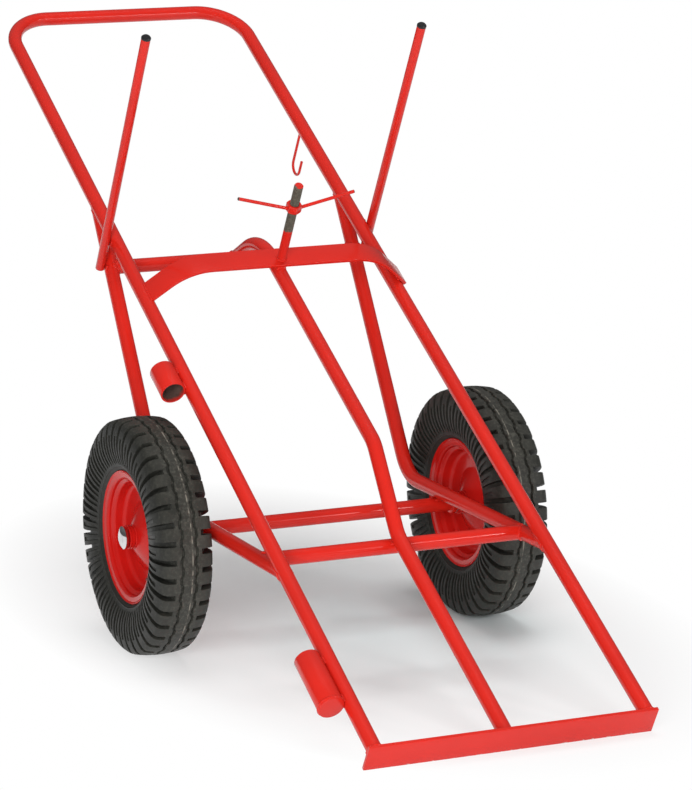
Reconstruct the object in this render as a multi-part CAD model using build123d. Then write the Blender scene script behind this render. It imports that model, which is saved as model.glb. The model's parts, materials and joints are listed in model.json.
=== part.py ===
from build123d import *
import os
from math import cos, radians, sin, sqrt, tan

# Gas cylinder trolley: a welded frame of bent tube that leans back on two pneumatic wheels.
# World frame: X to the right, Y from the toe bar to the handle, Z up, the floor at Z = 0.
# The frame is drawn flat, as on a bench: x across, y along the side tubes from the toe bar's
# front face, z square to the side tubes, whose axes lie at z = 0. LEAN then tips it up.

# Overall layout
FRAME_WIDTH = 464.0  # between the axes of the side tubes
FRAME_LENGTH = 1923.0  # toe bar's front face to the handle's axis
LEAN = 29.4  # side tubes to the floor, degrees
WHEEL_OFFSET = 74.0  # side tube's axis to the wheel's middle plane
AXLE_REACH = 747.6  # toe bar's floor line to the axle, along the floor

# Gaps and fits
WELD_GAP = 0.2  # between welded pieces where round faces meet
RUN_FIT = 0.05  # radial clearance of what turns on a shaft
PRESS_FIT = 0.05  # radial clearance of what is pressed in or pushed on
SIDE_PLAY = 0.3  # along the axle, between a hub and its washers
SHEET_GAP = 0.3  # between rubber and what it sits on
HOLE_PLAY = 0.2  # radial, around the valve

# Frame tube, shared by the main frame, the struts, the centre tube and the cross tubes
TUBE_D = 25.0
TUBE_WALL = 1.5
HANDLE_BEND_R = 84.0  # bends are measured at the tube's axis

# Toe bar
TOE_WIDTH = 48.0
TOE_THICK = 6.0
TOE_PROUD = 1.0  # above the side tubes
TOE_END_PROUD = 1.5  # beyond the side tubes, at each end
BAR_EDGE_R = 0.8  # rounded edge of rolled flat bar

# Struts behind the side tubes
STRUT_TOP_S = 1355.0  # where the upper leg's axis meets the side tube's
STRUT_TOP_ANGLE = 28.2  # upper leg to the side tube, degrees
STRUT_BEND_R = 75.0

# Cross tubes between the struts
UPPER_CROSS_S = 1249.5
LOWER_CROSS_RUN = 79.9  # from the strut's foot, along the side tube

# Centre tube
CENTRE_UPPER_Z = 51.0
CENTRE_RAMP_ANGLE = 26.0
CENTRE_RAMP_R = 60.0
CENTRE_RAMP_LEAD = 15.0  # the lower bend starts this far before the lower cross tube
CENTRE_ARCH_S = 1173.5  # where the upper run's axis meets the leg down to the upper cross tube
CENTRE_ARCH_R = 120.0

# Bridge bar over the centre tube and the side tubes
BRIDGE_WIDTH = 46.5
BRIDGE_THICK = 5.0
BRIDGE_S = 1094.5
BRIDGE_SHIFT = 8.0  # to the right, so that the right end laps over its tube
BRIDGE_SLOPE = 43.0
BRIDGE_BEND_R = 105.0
BRIDGE_LAP = 9.0  # past the point where it rests on the right tube

# Clamp stud, nut and wings
STUD_D = 16.0
STUD_X = 6.0
STUD_S = 1090.0
STUD_TOP_Z = 227.0
STUD_CHAMFER = 1.5
NUT_Z = 172.0  # underside of the nut
NUT_ACROSS_FLATS = 24.0
NUT_HEIGHT = 14.0
WING_D = 6.0
WING_SPAN = 215.0
WING_RISE = 31.0  # from the stud's axis to the tips
WING_ROOT_Z = 2.0  # where the wings' axes meet the stud's, above the underside of the nut
WING_TIP_R = 1.2

# Side arms and their plugs
ARM_D = 16.0
ARM_WALL = 1.5
ARM_TOP_Z = 428.0
PLUG_BARREL = 3.0  # straight stretch of the head
PLUG_DOME = 5.0
PLUG_LENGTH = 18.0
PLUG_LIP = 0.4  # head beyond the arm's outside, radial

# Torch hook
WIRE_D = 5.0
HOOK_S = 1549.0
HOOK_LEG_Z = -80.0
HOOK_BEND_R = 16.0
HOOK_TIP_Z = -58.0

# Rod ring and rod cup on the left side tube
HOLDER_D = 42.4
HOLDER_WALL = 2.6
RING_S = 845.0
RING_LENGTH = 58.0
CUP_S = 103.0
CUP_LENGTH = 106.0
CUP_BASE_THICK = 4.0

# Axle and what holds the wheels on it
AXLE_D = 25.0
STOP_RISE = 4.5  # radial, beyond the axle's surface
STOP_WIDTH = 8.0
WASHER_RISE = 4.5
WASHER_THICK = 2.5
CLIP_RISE = 2.5
CLIP_THICK = 1.5
AXLE_END = 1.0  # beyond the clip
AXLE_CHAMFER = 1.0

# Hub
HUB_WALL = 3.0
HUB_LENGTH = 78.0
BEARING_WALL = 3.0
BEARING_LENGTH = 20.0
BEARING_INSET = 2.0
CAP_WALL = 0.9
CAP_SKIRT = 4.0
CAP_BARREL = 3.0  # straight stretch beyond the hub's end
CAP_DOME = 6.0

# Rim halves of pressed sheet
RIM_SHEET = 2.4
RIM_CONE_U = 15.0  # cone's small end, from the wheel's middle plane
RIM_CONE_SHARE = 0.63  # cone's large end, as a share of the well's radius
RIM_WELL_DROP = 20.0  # edge to well, radial
RIM_WELL_U = 21.0
RIM_SEAT_DROP = 13.0  # edge to bead seat
RIM_SEAT_U = 25.0
RIM_WALL_U = 31.5
RIM_LIP_DROP = 3.0
RIM_LIP_U = 33.0
RIM_EDGE_U = 35.5
RIM_DISC_BEND = 10.0
RIM_WALL_BEND = 9.0
RIM_STEP_BEND = 3.0
RIM_LIP_BEND = 4.0

# Tyre
TYRE_R = 200.0
TYRE_HEIGHT = 88.0  # rim's edge to crown
TYRE_HALF = 50.0  # half the section's width
TYRE_WIDEST_DROP = 43.0  # crown to the widest place
TREAD_HALF = 37.0
TREAD_DROP = 4.0  # crown to tread edge
SHOULDER_U = 43.0
SHOULDER_DROP = 10.0  # crown to shoulder
BEAD_SEAT = 1.8  # bead's foot above the rim wall
BEAD_TOE_U = 20.0
BEAD_HEIGHT = 8.3
BEAD_LIP_U = 38.0
BEAD_LIP_RISE = 4.0  # above the rim's edge
CAVITY_DROP = 58.0  # crown to the cavity's centre
CAVITY_HALF_U = 41.0
CAVITY_HALF_R = 40.5
LUG_COUNT = 40
NOTCH_WIDTH = 7.5
NOTCH_INNER_U = 26.0
NOTCH_DEPTH = 10.0
NOTCH_FLOOR_U = 40.0
NOTCH_FOOT_U = 47.5
NOTCH_FOOT_DROP = 28.0
GROOVE_U = 19.0
GROOVE_WIDTH = 4.0
GROOVE_DEPTH = 5.0
TUBE_SKIN = 2.5  # wall of the inner tube

# Valve
VALVE_U = 14.0
VALVE_ANGLE = 215.0
VALVE_D = 8.0
VALVE_FOOT_D = 11.0
VALVE_FOOT = 1.6
VALVE_CAP_D = 9.0
VALVE_CAP = 10.0
VALVE_LENGTH = 27.0


# Places worked out from the driving sizes
lean = radians(LEAN)
half_width = FRAME_WIDTH / 2
wheel_x = half_width + WHEEL_OFFSET
tube_r = TUBE_D / 2
toe_top = tube_r + TOE_PROUD
toe_low = TOE_WIDTH - toe_top
floor_drop = toe_low - BAR_EDGE_R * (1 - (1 - sin(lean)) / cos(lean))
front_y = BAR_EDGE_R * cos(lean) - (toe_top - BAR_EDGE_R + floor_drop) * sin(lean) - BAR_EDGE_R
back_y = FRAME_LENGTH * cos(lean) - floor_drop * sin(lean) + tube_r
toe_y = -(front_y + back_y) / 2
axle_y = toe_y + AXLE_REACH
bench = Plane(
    origin=(0, toe_y - floor_drop * sin(lean), floor_drop * cos(lean)),
    x_dir=(1, 0, 0),
    z_dir=(0, -sin(lean), cos(lean)),
)

# Strut: the lower leg is level and lies on the axle
leg_height = TYRE_R + AXLE_D / 2 + WELD_GAP + tube_r
strut_low_s = (leg_height - floor_drop * cos(lean)) / sin(lean)
strut_top = radians(STRUT_TOP_ANGLE)
lower_leg = (STRUT_TOP_S - strut_low_s) / (cos(lean) + sin(lean) / tan(strut_top))
strut_apex_s = strut_low_s + lower_leg * cos(lean)
strut_apex_z = -lower_leg * sin(lean)
upper_cross_z = -(STRUT_TOP_S - UPPER_CROSS_S) * tan(strut_top)
lower_cross_s = strut_low_s + LOWER_CROSS_RUN
lower_cross_z = -LOWER_CROSS_RUN * tan(lean)

# Centre tube: its lower bend lies on the lower cross tube
ramp = radians(CENTRE_RAMP_ANGLE)
bend_to_cross = CENTRE_RAMP_R + TUBE_D + WELD_GAP
bend_above_cross = sqrt(bend_to_cross**2 - CENTRE_RAMP_LEAD**2)
centre_lower_z = lower_cross_z + bend_above_cross - CENTRE_RAMP_R
ramp_foot_s = lower_cross_s - CENTRE_RAMP_LEAD + CENTRE_RAMP_R * tan(ramp / 2)
ramp_head_s = ramp_foot_s + (CENTRE_UPPER_Z - centre_lower_z) / tan(ramp)

# Bridge bar: its middle surface, level over the centre tube and lapped over the right tube
slope = radians(BRIDGE_SLOPE)
bridge_z = CENTRE_UPPER_Z + tube_r + WELD_GAP + BRIDGE_THICK / 2
bridge_off = tube_r + WELD_GAP + BRIDGE_THICK / 2
rest_x = half_width + bridge_off * sin(slope)
rest_z = bridge_off * cos(slope)
bridge_right_x = rest_x - (bridge_z - rest_z) / tan(slope)
bridge_left_x = 2 * BRIDGE_SHIFT - bridge_right_x
butt_run = (bridge_left_x + half_width) * cos(slope) + bridge_z * sin(slope)

# Axle: radii from its surface outward, and stations outward from a wheel's middle plane
axle_r = AXLE_D / 2
hub_bore_r = axle_r + BEARING_WALL
hub_r = hub_bore_r + HUB_WALL
hub_end = HUB_LENGTH / 2
washer_at = hub_end + SIDE_PLAY
clip_at = washer_at + WASHER_THICK
axle_end = clip_at + CLIP_THICK + AXLE_END

# Side arm and rod holders beside the tubes
arm_x = half_width + tube_r + WELD_GAP + ARM_D / 2
holder_x = -(half_width + tube_r + WELD_GAP + HOLDER_D / 2)

# Rim, tyre and valve: radii inward from the crown
rim_edge_r = TYRE_R - TYRE_HEIGHT
rim_seat_r = rim_edge_r - RIM_SEAT_DROP
rim_well_r = rim_edge_r - RIM_WELL_DROP
cavity_r = TYRE_R - CAVITY_DROP
bead_r = rim_seat_r + RIM_SHEET / 2 + BEAD_SEAT
bead_u = RIM_WALL_U - RIM_SHEET / 2 - SHEET_GAP
tube_half_u = CAVITY_HALF_U - SHEET_GAP
tube_half_r = CAVITY_HALF_R - SHEET_GAP
valve_root_u = VALVE_U - VALVE_FOOT_D / 2
valve_root_r = cavity_r - tube_half_r * sqrt(1 - (valve_root_u / tube_half_u) ** 2) - SHEET_GAP


# General shapes
def end_plane(path):
    """Plane square to the start of a path."""
    return Plane(origin=path @ 0, z_dir=path % 0)


def bent_tube(path, outer_d, wall):
    """Round tube along a path of straight runs and tangent arcs."""
    section = Circle(outer_d / 2) - Circle(outer_d / 2 - wall)
    return sweep(end_plane(path) * section, path=path)


def round_bar(path, diameter):
    """Round bar along a path of straight runs and tangent arcs."""
    return sweep(end_plane(path) * Circle(diameter / 2), path=path)


def room_for(path, diameter):
    """Space taken by a tube with the gap left for its weld, to cope another piece with."""
    return round_bar(path, diameter + 2 * WELD_GAP)


def ring_along_x(outer_r, inner_r, start, end):
    """Ring about the X axis between two stations."""
    face = Plane.YZ.offset(start) * (Circle(outer_r) - Circle(inner_r))
    return extrude(face, amount=end - start)


def dome_outline(radius, foot_u, rim_u, rise):
    """Half section, along x, of a barrel from foot_u to rim_u with a shallow dome on it."""
    ball_r = (radius**2 + rise**2) / (2 * rise)
    mid_r = radius / 2
    mid_u = rim_u + rise - ball_r + sqrt(ball_r**2 - mid_r**2)
    sides = Polyline((rim_u + rise, 0), (foot_u, 0), (foot_u, radius), (rim_u, radius))
    return make_face(sides + ThreePointArc((rim_u, radius), (mid_u, mid_r), (rim_u + rise, 0)))


def hexagon(across_flats):
    """Hexagon with two flats square to x."""
    return RegularPolygon(across_flats / 2, 6, major_radius=False, rotation=30)


# Frame, drawn on the bench
def side_axis(side):
    """Axis of one side tube; side is -1 for the left and 1 for the right."""
    return Line((side * half_width, 0, 0), (side * half_width, FRAME_LENGTH, 0))


def strut_path(side):
    """Axis of one strut, from the side tube back to the bend and level to the side tube again."""
    x = side * half_width
    return FilletPolyline(
        (x, STRUT_TOP_S, 0),
        (x, strut_apex_s, strut_apex_z),
        (x, strut_low_s, 0),
        radius=STRUT_BEND_R,
    )


def cross_axis(s, z):
    """Axis of a cross tube, from strut axis to strut axis."""
    return Line((-half_width, s, z), (half_width, s, z))


def main_frame_tube():
    """Both side tubes and the handle, one tube bent to a U."""
    path = FilletPolyline(
        (-half_width, TOE_THICK, 0),
        (-half_width, FRAME_LENGTH, 0),
        (half_width, FRAME_LENGTH, 0),
        (half_width, TOE_THICK, 0),
        radius=HANDLE_BEND_R,
    )
    return bent_tube(path, TUBE_D, TUBE_WALL)


def toe_bar():
    """Flat bar across the feet of the tubes, the cylinders' rest."""
    length = FRAME_WIDTH + TUBE_D + 2 * TOE_END_PROUD
    section = RectangleRounded(TOE_THICK, TOE_WIDTH, BAR_EDGE_R)
    middle = Plane.YZ.offset(-length / 2) * Pos(TOE_THICK / 2, toe_top - TOE_WIDTH / 2)
    return extrude(middle * section, amount=length)


def strut(side):
    """Bent strut, coped to its side tube at both ends."""
    tube = bent_tube(strut_path(side), TUBE_D, TUBE_WALL)
    return tube - room_for(side_axis(side), TUBE_D)


def cross_tube(s, z):
    """Straight tube between the struts, coped to both."""
    tube = bent_tube(cross_axis(s, z), TUBE_D, TUBE_WALL)
    return tube - room_for(strut_path(-1), TUBE_D) - room_for(strut_path(1), TUBE_D)


def centre_tube():
    """Tube from the toe bar over the lower cross tube, up a ramp and arched to the upper one."""
    path = FilletPolyline(
        (0, TOE_THICK, centre_lower_z),
        (0, ramp_foot_s, centre_lower_z),
        (0, ramp_head_s, CENTRE_UPPER_Z),
        (0, CENTRE_ARCH_S, CENTRE_UPPER_Z),
        (0, UPPER_CROSS_S, upper_cross_z),
        radius=[CENTRE_RAMP_R, CENTRE_RAMP_R, CENTRE_ARCH_R],
    )
    tube = bent_tube(path, TUBE_D, TUBE_WALL)
    return tube - room_for(cross_axis(UPPER_CROSS_S, upper_cross_z), TUBE_D)


def bridge_bar():
    """Flat bar bent over the tubes: butted on the left tube, lapped over the right one."""
    path = FilletPolyline(
        (bridge_left_x - butt_run * cos(slope), BRIDGE_S, bridge_z - butt_run * sin(slope)),
        (bridge_left_x, BRIDGE_S, bridge_z),
        (bridge_right_x, BRIDGE_S, bridge_z),
        (rest_x + BRIDGE_LAP * cos(slope), BRIDGE_S, rest_z - BRIDGE_LAP * sin(slope)),
        radius=BRIDGE_BEND_R,
    )
    end = Plane(origin=path @ 0, x_dir=(0, 1, 0), z_dir=path % 0)
    section = end * RectangleRounded(BRIDGE_WIDTH, BRIDGE_THICK, BAR_EDGE_R)
    return sweep(section, path=path) - room_for(side_axis(-1), TUBE_D)


def side_arm(side):
    """Upright tube outside a strut and its side tube."""
    path = Line((side * arm_x, UPPER_CROSS_S, upper_cross_z), (side * arm_x, UPPER_CROSS_S, ARM_TOP_Z))
    return bent_tube(path, ARM_D, ARM_WALL)


def arm_plug(side):
    """Plastic plug with a domed head, pushed into the top of an arm."""
    head = dome_outline(ARM_D / 2 + PLUG_LIP, 0, PLUG_BARREL, PLUG_DOME)
    stem_r = ARM_D / 2 - ARM_WALL - PRESS_FIT
    stem = Pos(-PLUG_LENGTH / 2, stem_r / 2) * Rectangle(PLUG_LENGTH, stem_r)
    plug = Rot(Y=-90) * revolve(head + stem, axis=Axis.X)
    return Pos(side * arm_x, UPPER_CROSS_S, ARM_TOP_Z) * plug


def clamp_stud():
    """Threaded bar that stands on the bridge bar, as a plain cylinder."""
    height = STUD_TOP_Z - bridge_z - BRIDGE_THICK / 2
    bar = extrude(Circle(STUD_D / 2), amount=height)
    bar = chamfer(bar.edges().group_by(Axis.Z)[-1], STUD_CHAMFER)
    return Pos(STUD_X, STUD_S, STUD_TOP_Z - height) * bar


def torch_hook():
    """Round wire under the right side tube, bent to a hook."""
    far_s = HOOK_S - 2 * HOOK_BEND_R
    leg = Line((half_width, HOOK_S, 0), (half_width, HOOK_S, HOOK_LEG_Z))
    bend = ThreePointArc(
        (half_width, HOOK_S, HOOK_LEG_Z),
        (half_width, HOOK_S - HOOK_BEND_R, HOOK_LEG_Z - HOOK_BEND_R),
        (half_width, far_s, HOOK_LEG_Z),
    )
    tip = Line((half_width, far_s, HOOK_LEG_Z), (half_width, far_s, HOOK_TIP_Z))
    return round_bar(leg + bend + tip, WIRE_D) - room_for(side_axis(1), TUBE_D)


def rod_holder(start, length):
    """Short open tube beside the left side tube."""
    path = Line((holder_x, start, 0), (holder_x, start + length, 0))
    return bent_tube(path, HOLDER_D, HOLDER_WALL)


def cup_base():
    """Flat disc that closes the lower end of the rod cup."""
    path = Line((holder_x, CUP_S, 0), (holder_x, CUP_S + CUP_BASE_THICK, 0))
    return round_bar(path, HOLDER_D)


# Clamp nut, drawn on the bench
def clamp_nut():
    """Hexagon nut with chamfered corners, bored to turn on the stud."""
    flat_r = NUT_ACROSS_FLATS / 2
    corner_r = flat_r / cos(radians(30))
    bevel = (corner_r - flat_r) * tan(radians(30))
    turned = Polyline(
        (0, 0),
        (flat_r, 0),
        (corner_r, bevel),
        (corner_r, NUT_HEIGHT - bevel),
        (flat_r, NUT_HEIGHT),
        (0, NUT_HEIGHT),
        close=True,
    )
    blank = extrude(hexagon(NUT_ACROSS_FLATS), amount=NUT_HEIGHT)
    blank = blank & revolve(Plane.XZ * make_face(turned), axis=Axis.Z)
    bore = extrude(Circle(STUD_D / 2 + RUN_FIT), amount=NUT_HEIGHT)
    return Pos(STUD_X, STUD_S, NUT_Z) * (blank - bore)


def clamp_wings():
    """Two rods that slope up from opposite flats of the nut."""
    flat_r = NUT_ACROSS_FLATS / 2
    rods = []
    for side in (-1, 1):
        path = Line((0, 0, WING_ROOT_Z), (side * WING_SPAN / 2, 0, WING_ROOT_Z + WING_RISE))
        rod = round_bar(path, WING_D)
        rod = fillet(rod.edges().sort_by(Axis.X)[-1 if side > 0 else 0], WING_TIP_R)
        keep = Pos(side * (flat_r + WING_SPAN / 2), 0, 0) * Box(WING_SPAN, WING_SPAN, WING_SPAN)
        rods.append(Pos(STUD_X, STUD_S, NUT_Z) * (rod & keep))
    return Compound(children=rods)


# Axle and its rings, about the X axis; they stay with the frame
def axle():
    """Round bar right through both wheels."""
    reach = wheel_x + axle_end
    bar = extrude(Plane.YZ.offset(-reach) * Circle(axle_r), amount=2 * reach)
    ends = bar.edges().filter_by(GeomType.CIRCLE)
    return chamfer(ends, AXLE_CHAMFER)


def axle_rings(rise, start, end):
    """A pair of like rings on the axle, at stations outward from each wheel's middle plane."""
    right = ring_along_x(axle_r + rise, axle_r + PRESS_FIT, wheel_x + start, wheel_x + end)
    return Compound(children=[right, Rot(0, 0, 180) * right])


# Wheel, drawn about the X axis with its outer side towards +X
def tyre():
    """Tyre with an open foot, two grooves around the tread and notched shoulders."""
    edge_r = TYRE_R - TREAD_DROP
    shoulder_r = TYRE_R - SHOULDER_DROP
    lip_r = rim_edge_r + BEAD_LIP_RISE
    widest_r = TYRE_R - TYRE_WIDEST_DROP
    right_side = Polyline((0, bead_r), (bead_u, bead_r), (bead_u, bead_r + BEAD_HEIGHT), (BEAD_LIP_U, lip_r))
    right_side += ThreePointArc((BEAD_LIP_U, lip_r), (TYRE_HALF, widest_r), (SHOULDER_U, shoulder_r))
    right_side += Line((SHOULDER_U, shoulder_r), (TREAD_HALF, edge_r))
    crown = ThreePointArc((TREAD_HALF, edge_r), (0, TYRE_R), (-TREAD_HALF, edge_r))
    section = make_face(right_side + crown + mirror(right_side, about=Plane.YZ))
    section -= Pos(0, cavity_r) * Ellipse(CAVITY_HALF_U, CAVITY_HALF_R)
    section -= Pos(0, bead_r) * Rectangle(2 * BEAD_TOE_U, 2 * (cavity_r - bead_r))
    for side in (-1, 1):
        section -= Pos(side * GROOVE_U, TYRE_R) * Rectangle(GROOVE_WIDTH, 2 * GROOVE_DEPTH)
    body = revolve(section, axis=Axis.X)
    return body - notch_cutters()


def notch_cutters():
    """Cutters for the shoulder notches, half a pitch apart on the two sides."""
    floor_r = TYRE_R - NOTCH_DEPTH
    foot_r = TYRE_R - NOTCH_FOOT_DROP
    clear_u = TYRE_HALF + NOTCH_WIDTH
    clear_r = TYRE_R + NOTCH_WIDTH
    outline = Polyline(
        (NOTCH_INNER_U, clear_r),
        (NOTCH_INNER_U, floor_r),
        (NOTCH_FLOOR_U, floor_r),
        (NOTCH_FOOT_U, foot_r),
        (clear_u, foot_r),
        (clear_u, clear_r),
        close=True,
    )
    cutter = extrude(make_face(outline), amount=NOTCH_WIDTH / 2, both=True)
    pitch = 360 / LUG_COUNT
    right = [Rot(X=pitch * step) * cutter for step in range(LUG_COUNT)]
    other = Rot(Y=180) * cutter
    left = [Rot(X=pitch * (step + 0.5)) * other for step in range(LUG_COUNT)]
    return right + left


def inner_tube():
    """Hollow rubber ring inside the tyre."""
    section = Ellipse(tube_half_u, tube_half_r) - Ellipse(tube_half_u - TUBE_SKIN, tube_half_r - TUBE_SKIN)
    return revolve(Pos(0, cavity_r) * section, axis=Axis.X)


def rim_half():
    """Outer half of the rim: cone, disc, well, bead seat and rolled lip of one pressed sheet."""
    disc_u = RIM_SHEET / 2
    path = FilletPolyline(
        (RIM_CONE_U, hub_r + WELD_GAP + RIM_SHEET / 2),
        (disc_u, RIM_CONE_SHARE * rim_well_r),
        (disc_u, rim_well_r),
        (RIM_WELL_U, rim_well_r),
        (RIM_SEAT_U, rim_seat_r),
        (RIM_WALL_U, rim_seat_r),
        (RIM_LIP_U, rim_edge_r - RIM_LIP_DROP),
        (RIM_EDGE_U, rim_edge_r),
        radius=[RIM_DISC_BEND, RIM_WALL_BEND, RIM_STEP_BEND, RIM_STEP_BEND, RIM_LIP_BEND, RIM_LIP_BEND],
    )
    return revolve(trace(path, RIM_SHEET), axis=Axis.X)


def outer_rim():
    """Rim half with the hole for the valve."""
    hole = Cylinder(VALVE_D / 2 + HOLE_PLAY, rim_well_r / 2)
    return rim_half() - at_valve(Pos(0, 0, rim_well_r) * hole)


def inner_rim():
    """Rim half on the side of the frame."""
    return Rot(Y=180) * rim_half()


def hub():
    """Hub tube that the rim halves are welded to."""
    return ring_along_x(hub_r, hub_bore_r, -hub_end, hub_end)


def bearings():
    """Roller bearing at each end of the hub, as plain rings."""
    end = hub_end - BEARING_INSET
    right = ring_along_x(hub_bore_r - PRESS_FIT, axle_r + RUN_FIT, end - BEARING_LENGTH, end)
    return Compound(children=[right, Rot(0, 0, 180) * right])


def hub_cap():
    """Thin domed cap pushed over the hub's outer end."""
    inner_r = hub_r + PRESS_FIT
    skirt_u = hub_end - CAP_SKIRT
    rim_u = hub_end + CAP_BARREL
    outer = dome_outline(inner_r + CAP_WALL, skirt_u, rim_u, CAP_DOME)
    inner = dome_outline(inner_r, skirt_u, rim_u, CAP_DOME - CAP_WALL)
    return revolve(outer - inner, axis=Axis.X)


def at_valve(piece):
    """Place a piece drawn along +Z, with the wheel's centre as its origin, at the valve."""
    return Rot(X=VALVE_ANGLE) * Pos(VALVE_U, 0, 0) * piece


def valve_stem():
    """Rubber valve with a foot on the inner tube and a cap inside the rim."""
    foot_r = valve_root_r - VALVE_FOOT
    cap_end = valve_root_r - VALVE_LENGTH
    outline = Polyline(
        (0, valve_root_r),
        (VALVE_D / 2, valve_root_r),
        (VALVE_FOOT_D / 2, foot_r),
        (VALVE_D / 2, foot_r),
        (VALVE_D / 2, cap_end + VALVE_CAP),
        (VALVE_CAP_D / 2, cap_end + VALVE_CAP),
        (VALVE_CAP_D / 2, cap_end + 1),
        (VALVE_CAP_D / 2 - 1, cap_end),
        (0, cap_end),
        close=True,
    )
    return at_valve(revolve(Plane.XZ * make_face(outline), axis=Axis.Z))


# Assembly
def frame_nodes():
    """Welded frame and clamp nut, tipped up from the bench."""
    nodes = {
        "main_frame_tube": main_frame_tube(),
        "toe_bar": toe_bar(),
        "centre_tube": centre_tube(),
        "bridge_bar": bridge_bar(),
        "left_strut": strut(-1),
        "right_strut": strut(1),
        "upper_cross_tube": cross_tube(UPPER_CROSS_S, upper_cross_z),
        "lower_cross_tube": cross_tube(lower_cross_s, lower_cross_z),
        "left_arm": side_arm(-1),
        "right_arm": side_arm(1),
        "left_arm_plug": arm_plug(-1),
        "right_arm_plug": arm_plug(1),
        "clamp_stud": clamp_stud(),
        "clamp_nut": clamp_nut(),
        "clamp_wings": clamp_wings(),
        "torch_hook": torch_hook(),
        "rod_ring": rod_holder(RING_S, RING_LENGTH),
        "rod_cup": rod_holder(CUP_S + CUP_BASE_THICK, CUP_LENGTH - CUP_BASE_THICK),
        "rod_cup_base": cup_base(),
    }
    return {name: bench.location * shape for name, shape in nodes.items()}


def axle_nodes():
    """Axle with its fixed rings."""
    stop_from = -washer_at - WASHER_THICK - STOP_WIDTH
    nodes = {
        "axle": axle(),
        "axle_stop_rings": axle_rings(STOP_RISE, stop_from, stop_from + STOP_WIDTH),
        "inner_washers": axle_rings(WASHER_RISE, -washer_at - WASHER_THICK, -washer_at),
        "outer_washers": axle_rings(WASHER_RISE, washer_at, clip_at),
        "axle_clips": axle_rings(CLIP_RISE, clip_at, clip_at + CLIP_THICK),
    }
    return {name: Pos(0, axle_y, TYRE_R) * shape for name, shape in nodes.items()}


def wheel_nodes():
    """Both wheels, the left one turned about so that its outer side faces -X."""
    pieces = {
        "tyre": tyre(),
        "inner_tube": inner_tube(),
        "valve_stem": valve_stem(),
        "outer_rim": outer_rim(),
        "inner_rim": inner_rim(),
        "hub": hub(),
        "bearings": bearings(),
        "hub_cap": hub_cap(),
    }
    right = Pos(wheel_x, axle_y, TYRE_R)
    left = Pos(-wheel_x, axle_y, TYRE_R) * Rot(0, 0, 180)
    nodes = {}
    for side, place in (("left", left), ("right", right)):
        for name, piece in pieces.items():
            nodes[f"{side}_{name}"] = place * piece
    return nodes


def main():
    """Build every piece and write one STEP file for each."""
    os.makedirs("parts", exist_ok=True)
    nodes = frame_nodes() | axle_nodes() | wheel_nodes()
    for name, shape in nodes.items():
        export_step(shape, f"parts/{name}.step")


main()
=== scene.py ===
"""Gas cylinder trolley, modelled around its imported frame.

Run as a script: it loads the frame, registers the classes, builds every piece and sets the stage.
Blender works in metres; the drawing sizes below are in millimetres.
"""

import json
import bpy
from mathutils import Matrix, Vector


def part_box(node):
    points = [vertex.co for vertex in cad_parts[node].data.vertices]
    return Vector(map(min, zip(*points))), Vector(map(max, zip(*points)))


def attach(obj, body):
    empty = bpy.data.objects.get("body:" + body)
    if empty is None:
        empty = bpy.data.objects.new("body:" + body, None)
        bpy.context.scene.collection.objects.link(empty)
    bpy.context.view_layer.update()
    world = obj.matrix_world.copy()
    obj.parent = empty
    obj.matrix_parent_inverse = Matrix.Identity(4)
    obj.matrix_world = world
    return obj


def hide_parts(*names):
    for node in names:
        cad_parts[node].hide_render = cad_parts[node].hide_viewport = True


bl_info = {
    "name": "Gas Cylinder Trolley",
    "version": (1, 0, 0),
    "blender": (4, 5, 0),
    "location": "View3D > Sidebar > Trolley",
    "description": "Models the looks of a gas cylinder trolley around its packed frame",
    "category": "Object",
}

from math import atan2, cos, degrees, hypot, pi, radians, sin, sqrt, tan

import bmesh
import bpy
from bpy.props import FloatProperty, FloatVectorProperty, IntProperty, PointerProperty
from bpy.types import NodeSocket, Operator, Panel, PropertyGroup
from mathutils import Matrix, Vector

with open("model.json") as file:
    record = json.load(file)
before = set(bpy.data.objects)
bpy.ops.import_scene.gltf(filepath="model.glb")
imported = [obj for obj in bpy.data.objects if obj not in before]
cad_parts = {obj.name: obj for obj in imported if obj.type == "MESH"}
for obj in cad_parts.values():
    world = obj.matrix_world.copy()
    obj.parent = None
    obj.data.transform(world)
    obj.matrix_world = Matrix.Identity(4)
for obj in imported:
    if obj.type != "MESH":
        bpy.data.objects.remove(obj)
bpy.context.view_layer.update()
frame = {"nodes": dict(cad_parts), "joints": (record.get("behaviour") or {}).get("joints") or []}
JOINTS = {joint["name"]: joint for joint in frame["joints"]}

MM = 0.001
SIDES = (("left", -1), ("right", 1))
ACROSS, ALONG, UP = Vector((1, 0, 0)), Vector((0, 1, 0)), Vector((0, 0, 1))
HERE = Matrix.Identity(4)
MERGE = 0.000002
SHORTEST_RUN = 0.000001
BEND_STEP = 3.5  # degrees
BEND_STEPS = 5  # at the least

# Flats round the turned pieces
WIRE_SIDES = 24
ROD_SIDES = 28
STUD_SIDES = 40
RING_SIDES = 48
AXLE_SIDES = 64
HUB_SIDES = 72
NUT_SIDES = 96
RIM_SIDES = 120

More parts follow.
